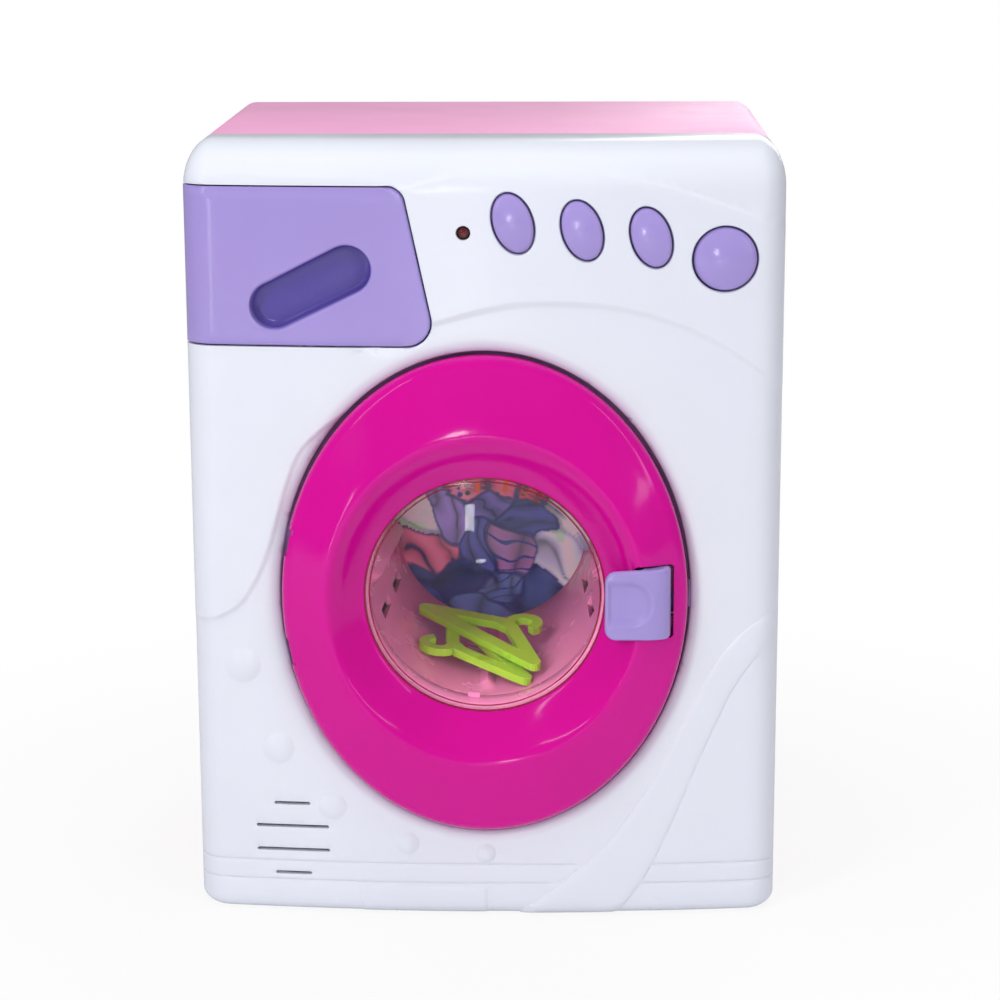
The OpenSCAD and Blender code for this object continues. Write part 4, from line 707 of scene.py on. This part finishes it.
def make_rear_shell():
    b = Build()
    edge, inset = 5, 4.9  # the rounding along the back
    rows = [(WALL, SEAM + 8), (WALL, SEAM), (0.4, SEAM), (0.12, SEAM + 0.15), (0, SEAM + 0.45), (0, CASE_D - edge)]
    rows += [(inset * (1 - cos(radians(a))), CASE_D - edge + edge * sin(radians(a))) for a in range(15, 91, 15)]
    rows = b.loft([ring3(case_chain(1, False, d), y) for d, y in rows])
    holes = [cover_hole()] + [ellipse(x, z, 3, 3, 28) for x, z in POSTS]
    near = [grown(h, d) for h in holes for d in (0.25, 0.6)]

    def shape(P):
        return CASE_D - sum(fall(beyond(P, h), 0.5) for h in holes)

    _, cover, *posts = b.sheet(shape, case_chain(1, False, inset), holes, 6, near, rows[-1])
    b.wall_in(cover, -2.6)
    for ring in posts:
        b.wall_in(ring, -117.5)
    skin(b, "rear_shell", "case", "pink_shell", clean=0.02)


# ---- door
def make_door():
    b = Build()
    # half width, half height and depth: the back edge, over the crease to the window, and back inside
    outer = curve([(65, 78.5, -0.4), (64.75, 78.25, -1.5), (64, 77.5, -2.7), (62.6, 76.1, -3.75), (60, 71.7, -5),
                   (57, 66.3, -6.45), (54, 60.2, -7.9), (52, 56.2, -8.72), (51, 54.4, -8.97), (50, 52.9, -8.85),
                   (48.6, 51.1, -7.95), (46.6, 48.6, -6.1), (44, 45.3, -3.5), (41.4, 41.9, -1.05), (39.9, 40, 0.2),
                   (39.3, 39.4, 0.55)], 0.8)
    section = [(65, 78.5, DOOR_BACK), (65, 78.5, 0.4), *outer, (38.95, 38.95, 0.75), (38.8, 38.8, 1.05),
               (38.8, 38.8, DOOR_BACK), (41.3, 41.3, DOOR_BACK), (49.5, 52.5, -6.4), (56, 65, -4.4),
               (61.5, 75, -1.9), (63, 76.5, DOOR_BACK)]
    ids = b.loft([ring3(ellipse(0, DOOR_Z, a, c, 288), y) for a, c, y in section])
    b.strip(ids[-1], ids[0])
    o = skin(b, "door_ring", "door", "magenta", 50)
    # the latch's notch, and at each hinge a pocket round the knuckle and a slot that the bracket's foot swings into
    cuts = [((47.8, -14, DOOR_Z - 12.1), (60.4, 2.4, DOOR_Z + 12.1), 0.8)]
    for z in HINGES:
        z0, z1 = z - 4.4, z + 4.4
        cuts += [((-61.2, -3.2, z0), (-54.2, 4.4, z1), 0.1), ((-66.5, -2.45, z0), (-60, 4.4, z1), 0.1)]
    for cut in cuts:
        c = Build()
        box_piece(c, *cut)
        cutter = c.make("door_cutter", "door", MAT["magenta"], 50)
        mod = o.modifiers.new("notch", "BOOLEAN")
        mod.operation, mod.solver, mod.object = "DIFFERENCE", "EXACT", cutter
        o.data = bpy.data.meshes.new_from_object(o.evaluated_get(bpy.context.evaluated_depsgraph_get()))
        o.modifiers.clear()
        bpy.data.objects.remove(cutter)
    bm = bmesh.new()
    bm.from_mesh(o.data)
    smooth(bm, o.data, 45)


def make_window():
    b = Build()
    base, rise, thick = 38.5, 5, 1.6
    big = (base ** 2 + rise ** 2) / (2 * rise)
    middle = DOOR_BACK - rise + big
    out = [(r, middle - sqrt(big * big - r * r)) for r in np.linspace(0.01, base - 0.5, 26)]
    inner = [(r, middle - sqrt((big - thick) ** 2 - r * r)) for r in np.linspace(base - 1.8, 0.01, 24)]
    flange = [(base, 1.25), (base + 0.4, DOOR_BACK), (42.6, DOOR_BACK), (42.8, 1.6), (42.8, 2.4), (42.6, 2.6),
              (base - 1.2, 2.6)]
    ids = lathe(b, out + flange + inner, 160)
    b.cap(ids[0], ids[-1])
    skin(b, "door_window", "door", "window")


def make_refraction_rings():
    """Painted refraction: two thin beads of dark red where the window's edge shows through its clear plastic, one in
    front of its foot, one behind it.
    """
    b = Build()
    for r, y, w in ((38.62, 1.28, 0.34), (37.05, 2.75, 0.26)):
        lathe(b, arc(r, y, w, 0, 2 * pi, 9)[:-1], 180, closed=True)
    b.make("window_refraction_rings", "door", MAT["refraction_red"], 60)


def make_mouth():
    b = Build()
    lathe(b, [(44, 8.5), (44, 6.9), (43.6, 6.5), (38.6, 6.5), (37.9, 6.75), (37.5, 7.4), (37.5, 15.2), (37.8, 15.6),
              (39.2, 15.6), (39.5, 15.2), (39.5, 8.5)], closed=True)
    box_piece(b, (-6, 12.6, DOOR_Z - 38.4), (-2, 15.3, DOOR_Z - 35.9), 0.3)
    skin(b, "mouth_ring", "case", "drum_pink")


# ---- drawer front
def make_drawer_front():
    b = Build()
    levels = LEVELS[:-1] + [sin(radians(86)), 1]
    low, high = drawer_edge(0)
    region, hole = drawer_region(0), pill(*HANDLE)
    edge_r, lip_r, back_y, side_back = 0.8, 1.1, 9.9, 13.7
    recess = ((0.1, 4.2), (0.35, 7), (0.75, 8), (1.5, 8.45), (2.4, 8.5))

    def side(w):
        """A column of points on the rounded left edge."""
        v = np.clip((zs - FLAT_HIGH) / ROUND_HIGH, 0, 1)
        return stack([-FLAT_X - ROUND_X * np.sqrt(np.clip(w * w - v * v, 0, 1)), zs])

    def shape(P):
        return plain_y(P) + fall(-beyond(P, region), edge_r) + fall(beyond(P, hole), lip_r)

    zs = np.linspace(DRAWER_TOP, DRAWER_LOW, 32)
    edge = side(levels[0])
    bottom = [(x, DRAWER_LOW) for x in np.linspace(edge[-1][0], low[0][0], 36)[1:-1]]
    top = [(x, DRAWER_TOP) for x in np.linspace(high[-1][0], edge[0][0], 34)[1:-1]]
    outer = np.vstack([edge, bottom + low + between(low[-1], high[0]) + high + top])
    rows = [grown(hole, d) for d in (0.15, 0.4, 0.8, 1.3)]
    rows += [resample(drawer_region(-d)[1:-1], 1, False) for d in (0.12, 0.35, 0.7, 1.3)]
    ids, ring = b.sheet(shape, outer, [hole], 2.6, rows)
    cols = [ids[:len(edge)]] + [ring3(side(w), np.minimum(shape(side(w)), 13.4)) for w in levels[1:]]
    cols += [ring3(side(1) + (d, 0), side_back) for d in (0.25, 2.2)]
    cols = b.loft(cols, False)
    # walls back to the tray, and the back face
    loop = np.array([c[-1] for c in cols[::-1]] + list(ids[len(edge):]) + [c[0] for c in cols])
    back = np.vstack(b.v)[loop]
    back[:, 1] = np.where(back[:, 0] < -92.7, side_back, back_y)
    b.strip(loop, b.add(back), False)
    b.cap(b.add(ring3([(-92.7, DRAWER_TOP)] + high[::-1] + low[::-1] + [(-92.7, DRAWER_LOW)], back_y)))
    # handle recess: side walls that lean in a little, and a rounded foot
    rings = b.loft([ring] + [ring3(grown(hole, -d), y) for d, y in recess])
    b.sheet(8.5, grown(hole, -2.4), [], 3, rim=rings[-1])
    o = skin(b, "drawer_front", "drawer", "lilac", clean=0.02)
    # how deep each vertex lies behind the front face, for the painted shade of the recess
    co = design_points(o)
    depth = quarter(ramp(co[:, 1] - plain_y(co[:, [0, 2]]), 0.6, 6))
    o.data.attributes.new("recess_shade", "FLOAT", "POINT").data.foreach_set("value", depth)


# ---- buttons, latch and lamp
def make_button(i, x, z, a, c, tilt):
    b = Build()
    out, big, n = float(face_y(x)) - 2.6, 26, 96  # how far out the crown stands, and its radius
    back = float(face_y(abs(x) + a + 2)) + 2.4 + 0.3

    def crown(P):
        return out + big - np.sqrt(big * big - np.sum((P - (x, z)) ** 2, axis=1))

    edge = ellipse(x, z, a, c, n, tilt)
    rows = [ellipse(x, z, a * k, c * k, n, tilt) for k in (0.02, 0.2, 0.4, 0.58, 0.72, 0.83, 0.9)]
    rows = [ring3(P, crown(P)) for P in rows]
    for u in np.radians((35, 55, 72, 90)):
        rows.append(ring3(grown(edge, -1.1 * (1 - sin(u))), crown(edge) + 1.25 * (1 - cos(u)) - 0.28 * cos(u)))
    flange, stem = grown(edge, 1.6), ellipse(x, z, 2.4, 2.4, n)
    for P, y in ((edge, back), (flange, back), (flange, back + 1.4), (stem, back + 1.4), (stem, 12.4)):
        rows.append(ring3(P, y))
    ids = b.loft(rows)
    b.cap(ids[0], ids[-1])
    skin(b, "button_%d" % (i + 1), "button_" + ("one", "two", "three", "four")[i], "lilac")


def make_latch():
    """The latch: a thin plate with a soft thumb recess that opens to the left, its barrel, arm and claw."""
    b = Build()
    left, right, low, high = 38.4, 59.4, 97.3, 120.7
    lower, corner, bevel = 1, 3.6, 0.8  # how much the left end is lower at the top, and its rounding
    out = arc(left + corner, low + corner, corner, -pi / 2, -pi, 9)
    out += arc(left + corner, high - lower - corner, corner, pi, pi / 2, 9)
    out += [(right - bevel, high), (right, high - bevel), (right, low + bevel), (right - bevel, low)]
    out = resample(out, 0.7)
    crown = curve([(38, -10.7), (41, -10.8), (46, -10.8), (51, -10.8), (54, -10.45), (56, -9.8), (58, -8.6),
                   (59.4, -6.9), (60, -5.8)], 0.3)
    (end_x, end_z), thumb_r = (46.4, 109.4), 7.2

    def front(P):
        x, z = P.T
        # d is how far a point is inside the recess
        d = thumb_r - np.where(x > end_x, np.hypot(x - end_x, z - end_z), np.abs(z - end_z))
        d = np.minimum(d, (x - left - 0.9) * 1.6)
        dip = 1.25 * ramp(d, -0.1, 2) * (1 - 0.3 * ramp(x, 46.4, 40))
        lip = 0.2 * np.exp(-np.square((d + 0.7) / 0.55))
        return np.interp(x, *crown.T) + dip - lip + fall(-beyond(P, out), 1)

    def back(P):
        return np.interp(P[:, 0], [50, 51.5], [-8.8, -4.95])

    rows = [grown(out, d) for d in (0.12, 0.35, 0.65, 1)]  # inwards, as this outline runs clockwise
    b.strip(*(b.sheet(side, out, [], 0.62, rows)[0] for side in (front, back)))
    for z0, z1 in ((low + 0.2, 114.3), (119.3, high - 0.2)):
        barrel = tube(b, 56, -2.8, [(2.3, z0), (2.6, z0 + 0.3), (2.6, z1 - 0.3), (2.3, z1)])
        b.cap(barrel[0], barrel[-1])
    box_piece(b, (54.2, -2.8, 103), (57.8, 5.6, 111), 0.3)
    box_piece(b, (54.4, 4, 103.05), (64.8, 5.6, 110.95), 0.3)
    skin(b, "latch_lever", "latch", "lilac", 50)


def make_led():
    b = Build()
    r = 1.85
    back = float(face_y(LED[0])) - 0.4 + r  # the middle of its dome
    dome = [(r * sin(radians(a)), back - r * cos(radians(a))) for a in range(2, 91, 8)]
    ids = lathe(b, dome + [(r, back + 2.8), (r + 0.4, back + 3), (r + 0.4, back + 3.8)], 48, LED)
    b.cap(ids[0], ids[-1])
    for dx in (-1.27, 1.27):
        b.cap(lathe(b, [(0.25, back + 3.6), (0.25, 20.4)], 12, (LED[0] + dx, LED[1]))[-1])
    skin(b, "status_led", "case", "led_red", 50)


# ---- print and drum
def noise2(x, y, seed):
    """Smooth value noise on a plane, the same each run."""
    table = np.random.default_rng(seed).random((64, 64))
    xi, yi = np.floor(x).astype(int), np.floor(y).astype(int)
    fx, fy = ramp(x - xi, 0, 1), ramp(y - yi, 0, 1)
    low, high = ([table[(xi + i) % 64, (yi + j) % 64] for i in (0, 1)] for j in (0, 1))
    return (low[0] * (1 - fx) + low[1] * fx) * (1 - fy) + (high[0] * (1 - fx) + high[1] * fx) * fy


# Folded cloths of the print: middle, way of the folds, colour, number of folds, pattern
CLOTHS = (
    (-0.75, 0.62, 0.4, 232, 238, 246, 9, "tint"), (-0.28, 0.5, 1.3, 226, 142, 170, 10, "dots"),
    (0.2, 0.66, 0.6, 206, 112, 142, 9, "dots"), (0.62, 0.42, 2.2, 186, 74, 92, 11, "dots"),
    (-0.82, 0.12, 1.9, 222, 230, 244, 8, "tint"), (-0.42, 0.12, 2.6, 150, 138, 196, 12, ""),
    (0.02, 0.22, 0.9, 118, 110, 178, 14, ""), (0.42, 0.04, 1.7, 86, 94, 164, 13, ""),
    (0.86, 0.1, 0.3, 236, 240, 240, 8, "tint"), (-0.62, -0.26, 0.8, 206, 130, 156, 9, ""),
    (-0.14, -0.12, 0.2, 92, 98, 166, 14, ""), (0.2, -0.3, 2.8, 156, 122, 168, 11, "stripes"),
    (0.66, -0.36, 1.2, 198, 206, 226, 9, "tint"), (-0.36, -0.56, 2.3, 48, 60, 124, 10, ""),
    (0.05, -0.66, 0.5, 96, 120, 172, 11, "stripes"), (0.46, -0.72, 1.6, 74, 96, 150, 10, ""),
    (-0.1, -0.95, 0, 104, 130, 178, 9, ""), (-0.72, -0.72, 1, 60, 78, 140, 9, ""))
DOTS = ((146, 24, 40), (214, 96, 50), (28, 84, 66), (44, 58, 140))


def laundry(x, z):
    """Colours of the print: a plain heap of folded cloths, some dotted, some striped. x and z run from -1 to 1."""
    u, v = x, z
    for size, freq, seed in ((0.3, 2.1, 3), (0.12, 6.3, 5)):
        u, v = (u + size * (noise2(u * freq + 9, v * freq + 5, seed) - 0.5),
                v + size * (noise2(u * freq + 21, v * freq + 33, seed + 1) - 0.5))
    far = np.array([np.hypot(u - c[0], v - c[1]) for c in CLOTHS])
    nearest = np.sort(far, axis=0)
    border = nearest[1] - nearest[0]
    col = np.zeros((len(x), 3))
    for k, (_, _, turn, *tone, folds, kind) in enumerate(CLOTHS):
        here = np.argmin(far, axis=0) == k
        along, across = u * sin(turn) - v * cos(turn), u * cos(turn) + v * sin(turn)
        s = np.abs(np.sin(across * folds + 2.4 * noise2(along * 3 + k, across * 3 + 7, k + 20)))
        paint = np.array(rgb(*tone)) * (0.38 + 0.62 * s ** 0.75)[..., None]
        if kind == "dots":
            gu, gv = x * 10 + z * 3, z * 10 - x * 3
            iu, iv = np.floor(gu), np.floor(gv)
            ju, jv = (noise2(iu * f + 2, iv * g + 4, 13) - 0.5 for f, g in ((1.7, 1.3), (1.1, 1.9)))
            d = np.hypot(gu - iu - 0.5 - 0.4 * ju, gv - iv - 0.5 - 0.4 * jv)
            for i, dot in enumerate(DOTS):
                paint[(d < 0.3) & ((iu * 3 + iv * 5).astype(int) % 4 == i)] = rgb(*dot)
        elif kind == "stripes":
            paint[np.abs(np.sin(along * 26)) < 0.3] = rgb(52, 64, 134)
        elif kind == "tint":
            paint[noise2(x * 7 + 3, z * 7 + 8, k + 30) > 0.74] *= np.array((0.72, 0.95, 0.6))
        fold = (1 - ramp(s, 0.05, 0.24)) * (noise2(u * 4 + 1, v * 4 + 2, 50) > 0.42)
        line = ((0.3 if kind == "tint" else 0.8) * np.maximum(fold, 1 - ramp(border, 0.015, 0.065)))[..., None]
        col[here] = (paint * (1 - line) + np.array(rgb(30, 40, 108)) * line)[here]
    return np.clip(col ** 1.3 * 2.1, 0, 0.95)


def make_picture():
    b = Build()
    r, y, n = 33.3, 95.2, 260
    radii = np.linspace(0, 1, 96)[1:] * r
    rings = b.loft([ring3(ellipse(0, DOOR_Z, q, q, n), y + 0.12 * (q / r) ** 8) for q in radii])
    b.cap(rings[0])
    b.cap(b.loft([rings[-1], ring3(ellipse(0, DOOR_Z, r, r, n), 96)])[1])
    MAT["picture"] = plastic("picture", (0.5, 0.4, 0.5), 0.12, 0.03, 300, 0, coat=0.25, wear=0)
    t = Tree(MAT["picture"])
    paper = next(x for x in t.nodes if x.type == "VALTORGB")
    for stop, k in zip(paper.color_ramp.elements, (0.93, 1)):
        stop.color = (k, k, k, 1)
    ink = t.add("VertexColor", out="Color", layer_name="print")
    t.feed(t.main, {"Base Color": t.mix(1, ink, paper.outputs["Color"], "MULTIPLY")})
    o = skin(b, "picture_disc", "drum", "picture", 50)
    x, _, z = design_points(o).T
    colours = laundry(x / r, (z - DOOR_Z) / r)
    layer = o.data.color_attributes.new("print", "FLOAT_COLOR", "POINT")
    layer.data.foreach_set("color", stack([colours, np.ones(len(x))]).ravel())


def make_drum():
    """The drum: a tapered wall with soft lifting ribs and drain slots, a rolled rim and its back with the hub."""
    b = Build()
    y0, y1, r0, r1, wall = 16.6, 96, 38.3, 33.6, 1.8
    slots, half = np.radians([67.5, 112.5, 247.5, 292.5]), 1.6 / 36  # middles and half width, as angles
    runs = [(y0 + 14, y0 + 32), (y0 + 44, y0 + 62)]
    ang = {a for a in np.round(np.linspace(0, 2 * pi, 180, endpoint=False), 5) if min(abs(a - slots)) > half + 0.012}
    ang = np.array(sorted(ang | {round(float(s + k * half), 5) for s in slots for k in (-1, -0.7, 0, 0.7, 1)}))
    n = len(ang)
    ys = set(np.round(np.linspace(y0 + 1, y1 - 0.4, 44), 3)) | {v for a, c in runs for v in (a, a + 1, c - 1, c)}
    ys = np.array(sorted(v for v in ys if all(abs(v - e) > 0.5 or v == e for run in runs for e in run)))
    rib_y = quarter(ramp(ys, y0 + 6, y0 + 13)) * quarter(1 - ramp(ys, y1 - 7, y1 - 1.4))
    turn = np.abs((ang + pi / 4) % (pi / 2) - pi / 4) * 35
    rib_a = np.where(turn < 3.2, np.cos(np.clip(turn / 3.2, 0, 1) * pi / 2) ** 2, 0)
    lean = (r1 - r0) * (ys - y0) / (y1 - y0)

    def row(y, r):
        """Angle 0 looks down, towards the floor."""
        return stack([r * np.sin(ang), np.full(n, y), DOOR_Z - r * np.cos(ang)])

    inner = [b.add(row(y, r0 + d - 2.9 * k * rib_a)) for y, d, k in zip(ys, lean, rib_y)]
    outer = [b.add(row(y, r0 + wall + d)) for y, d in zip(ys, lean)]
    middle = (ang + np.append(ang[1:], ang[0] + 2 * pi)) / 2
    in_slot = np.array([min(abs((a - slots + pi) % (2 * pi) - pi)) < half for a in middle])
    in_run = np.array([any(a < y < c for a, c in runs) for y in (ys[:-1] + ys[1:]) / 2])
    cut = in_run[:, None] & in_slot
    for j, i in np.ndindex(cut.shape):
        k = (i + 1) % n
        corners = [(j, i), (j, k), (j + 1, k), (j + 1, i)]
        if not cut[j, i]:
            b.faces([[side[p][q] for p, q in corners] for side in (inner, outer)])
            continue
        # a slot's edge, wherever the wall goes on beside it
        beside = (cut[j - 1, i], cut[j, k], cut[j + 1, i], cut[j, i - 1])
        for (p, q), (r, s), open_too in zip(corners, corners[1:] + corners[:1], beside):
            if not open_too:
                b.faces([(inner[p][q], inner[r][s], outer[r][s], outer[p][q])])
    # rolled rim at the front, back wall and hub
    e = wall / 2
    rim = [row(y0 + e - e * sin(u), r0 + e + e * cos(u)) for u in np.linspace(0, pi, 9)[1:-1]]
    b.loft([outer[0]] + rim + [inner[0]])
    floor = ((0, r1 - 0.4), (0, 3.4), (1.2, 3.4), (1.2, 1.3), (1.8, 1.3))
    back = b.loft([inner[-1]] + [row(y1 + d, r) for d, r in floor])
    hub = ((1.4, r1 + 1.75), (1.8, r1 + 1.35), (1.8, 7.2), (2, 7), (4.5, 7), (4.8, 6.7), (4.8, 2.1), (1.8, 2.05))
    b.loft([outer[-1]] + [row(y1 + d, r) for d, r in hub] + [back[-1]])
    skin(b, "drum", "drum", "drum_pink", 35)


# ---- everything together
# which material each visible node of the CAD wears
WORN = {
    "screw_steel": "shell_screws door_screws drawer_screws housing_screws board_screws clamp_screws drum_screw"
                   " drive_screws cover_screw",
    "steel": "hinge_pins latch_pin latch_spring drum_shaft idler_pin motor_shaft battery_contacts",
    "inner_plastic": "drawer_housing speaker_clamp drive_plate_front drive_plate_rear motor_endcap battery_tray",
    "rubber_grey": "rubber_dome_1 rubber_dome_2 rubber_dome_3 rubber_dome_4",
    "magenta": "door_frame door_back", "lilac_tray": "drawer_tray", "pink_shell": "battery_cover",
    "lime": "hanger_1 hanger_2", "gear_plastic": "drum_gear idler_gear", "brass": "drum_bushes motor_pinion",
    "motor_metal": "speaker_basket motor_can", "magnet": "speaker_magnet", "paper_black": "speaker_cone",
    "board": "control_board", "black_parts": "board_parts", "cell_metal": "battery_cells",
    "lead_red": "battery_leads", "lead_blue": "motor_leads", "lead_black": "speaker_leads"}
# and the width, in mm, of the soft edges of some
SOFTEN = {0.9: "hanger_1 hanger_2", 0.5: "drawer_tray", 0.4: "battery_cover drawer_housing", 0.3: "door_back"}


def dress_nodes():
    for material, names in WORN.items():
        for name in names.split():
            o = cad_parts[name]
            for s in o.material_slots:
                s.link, s.material = "OBJECT", MAT[material]
            if not o.material_slots:
                o.data.materials.append(MAT[material])
    for width, names in SOFTEN.items():
        for name in names.split():
            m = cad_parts[name].modifiers.new("soft_edges", "BEVEL")
            m.width, m.segments, m.limit_method = width / 1000, 3, "ANGLE"
            m.angle_limit, m.harden_normals = radians(40), True


make_front_shell()
make_rear_shell()
make_door()
make_window()
make_mouth()
make_drawer_front()
for i, spec in enumerate(BUTTONS):
    make_button(i, *spec)
make_led()
make_latch()
make_picture()
make_drum()
make_refraction_rings()
dress_nodes()


# ---- camera, floor, lights, in metres
def make_camera():
    cam = bpy.data.cameras.new("camera")
    cam.lens, cam.sensor_width = 2774 * 36 / 1000, 36  # a focal length of 2774 pixels
    cam.clip_start, cam.clip_end = 0.05, 20
    o = bpy.context.scene.camera = add_object("camera", cam)
    o.matrix_world = Matrix.Translation((0.0274, -0.9292, 0.3402))
    for axis, turn in (("Z", 1.49), ("X", 90 - 13.07), ("Z", -0.22)):
        o.matrix_world @= Matrix.Rotation(radians(turn), 4, axis)


def make_stage():
    me = bpy.data.meshes.new("floor")
    me.from_pydata([(-3, -3, 0), (3, -3, 0), (3, 3, 0), (-3, 3, 0)], [], [(0, 1, 2, 3)])
    o = add_object("floor", me)
    t = Tree(bpy.data.materials.new("floor"))
    t.feed(t.main, {"Base Color": (0.86, 0.86, 0.88, 1), "Roughness": 0.9})
    # plain white to the camera, but near the toy its faint shadow shows
    far = t.add("VectorMath", {0: t.add("NewGeometry", out="Position")}, "Value", operation="LENGTH")
    white = t.math("MULTIPLY", t.add("LightPath", out="Is Camera Ray"), t.span(far, 0.09, 0.32, 0.86, 1))
    t.surface(white, t.main.outputs[0], t.add("Emission", {"Color": (1, 1, 1, 1), "Strength": 1}))
    me.materials.append(t.owner)


def make_world():
    """Plain white behind the toy and through its window, and a dimmer light from all round."""
    w = bpy.context.scene.world = bpy.data.worlds.new("studio")
    t = Tree(w)
    soft = t.nodes["Background"]
    t.feed(soft, {"Color": (0.95, 0.97, 1, 1), "Strength": 0.27})
    path = t.add("LightPath").node.outputs
    seen = t.math("ADD", path["Is Camera Ray"], path["Is Transmission Ray"], True)
    t.surface(seen, soft.outputs[0], t.add("Background", {"Color": (1, 1, 1, 1), "Strength": 1}))


def lamp(name, at, size, energy, mirrored=True, aim=(0, 0, 0.12)):
    d = bpy.data.lights.new(name, "AREA")
    d.shape, d.size, d.size_y, d.energy = "RECTANGLE", *size, energy
    o = add_object(name, d)
    o.visible_glossy = mirrored
    o.location = at
    o.rotation_euler = (Vector(aim) - Vector(at)).to_track_quat("-Z", "Y").to_euler()


bpy.context.scene.view_settings.view_transform = "Standard"
make_camera()
make_stage()
make_world()
# the broad lamps are not mirrored, so that the glossy door keeps its colour
lamp("key", (-0.7, -0.95, 0.75), (0.3, 0.9), 5.6, False)
lamp("streak", (-0.72, -0.97, 0.8), (0.07, 0.6), 0.9)
lamp("fill", (0.95, -1.1, 0.5), (0.5, 0.9), 2.2, False)
lamp("edge", (0.97, -1.12, 0.6), (0.1, 0.7), 0.9)
lamp("front", (0, -1.4, 0.8), (0.9, 0.5), 1.4, False, aim=(0, 0, 0.1))
lamp("flash", (-0.11, -1.15, 0.26), (0.05, 0.14), 0.5, aim=(0, 0, 0.2))
lamp("bend", (-0.6, -1.05, 0.12), (0.03, 0.24), 0.22, aim=(-0.09, 0, 0.2))
lamp("spark", (-0.05, -1.15, 0.03), (0.05, 0.02), 0.1, aim=(0, 0, 0.11))
lamp("rear", (0.5, 1.3, 0.8), (0.9, 0.9), 6.5)
lamp("top", (0, -0.25, 1.3), (1, 0.7), 6, False, aim=(0, 0, 0.1))

bpy.context.view_layer.update()
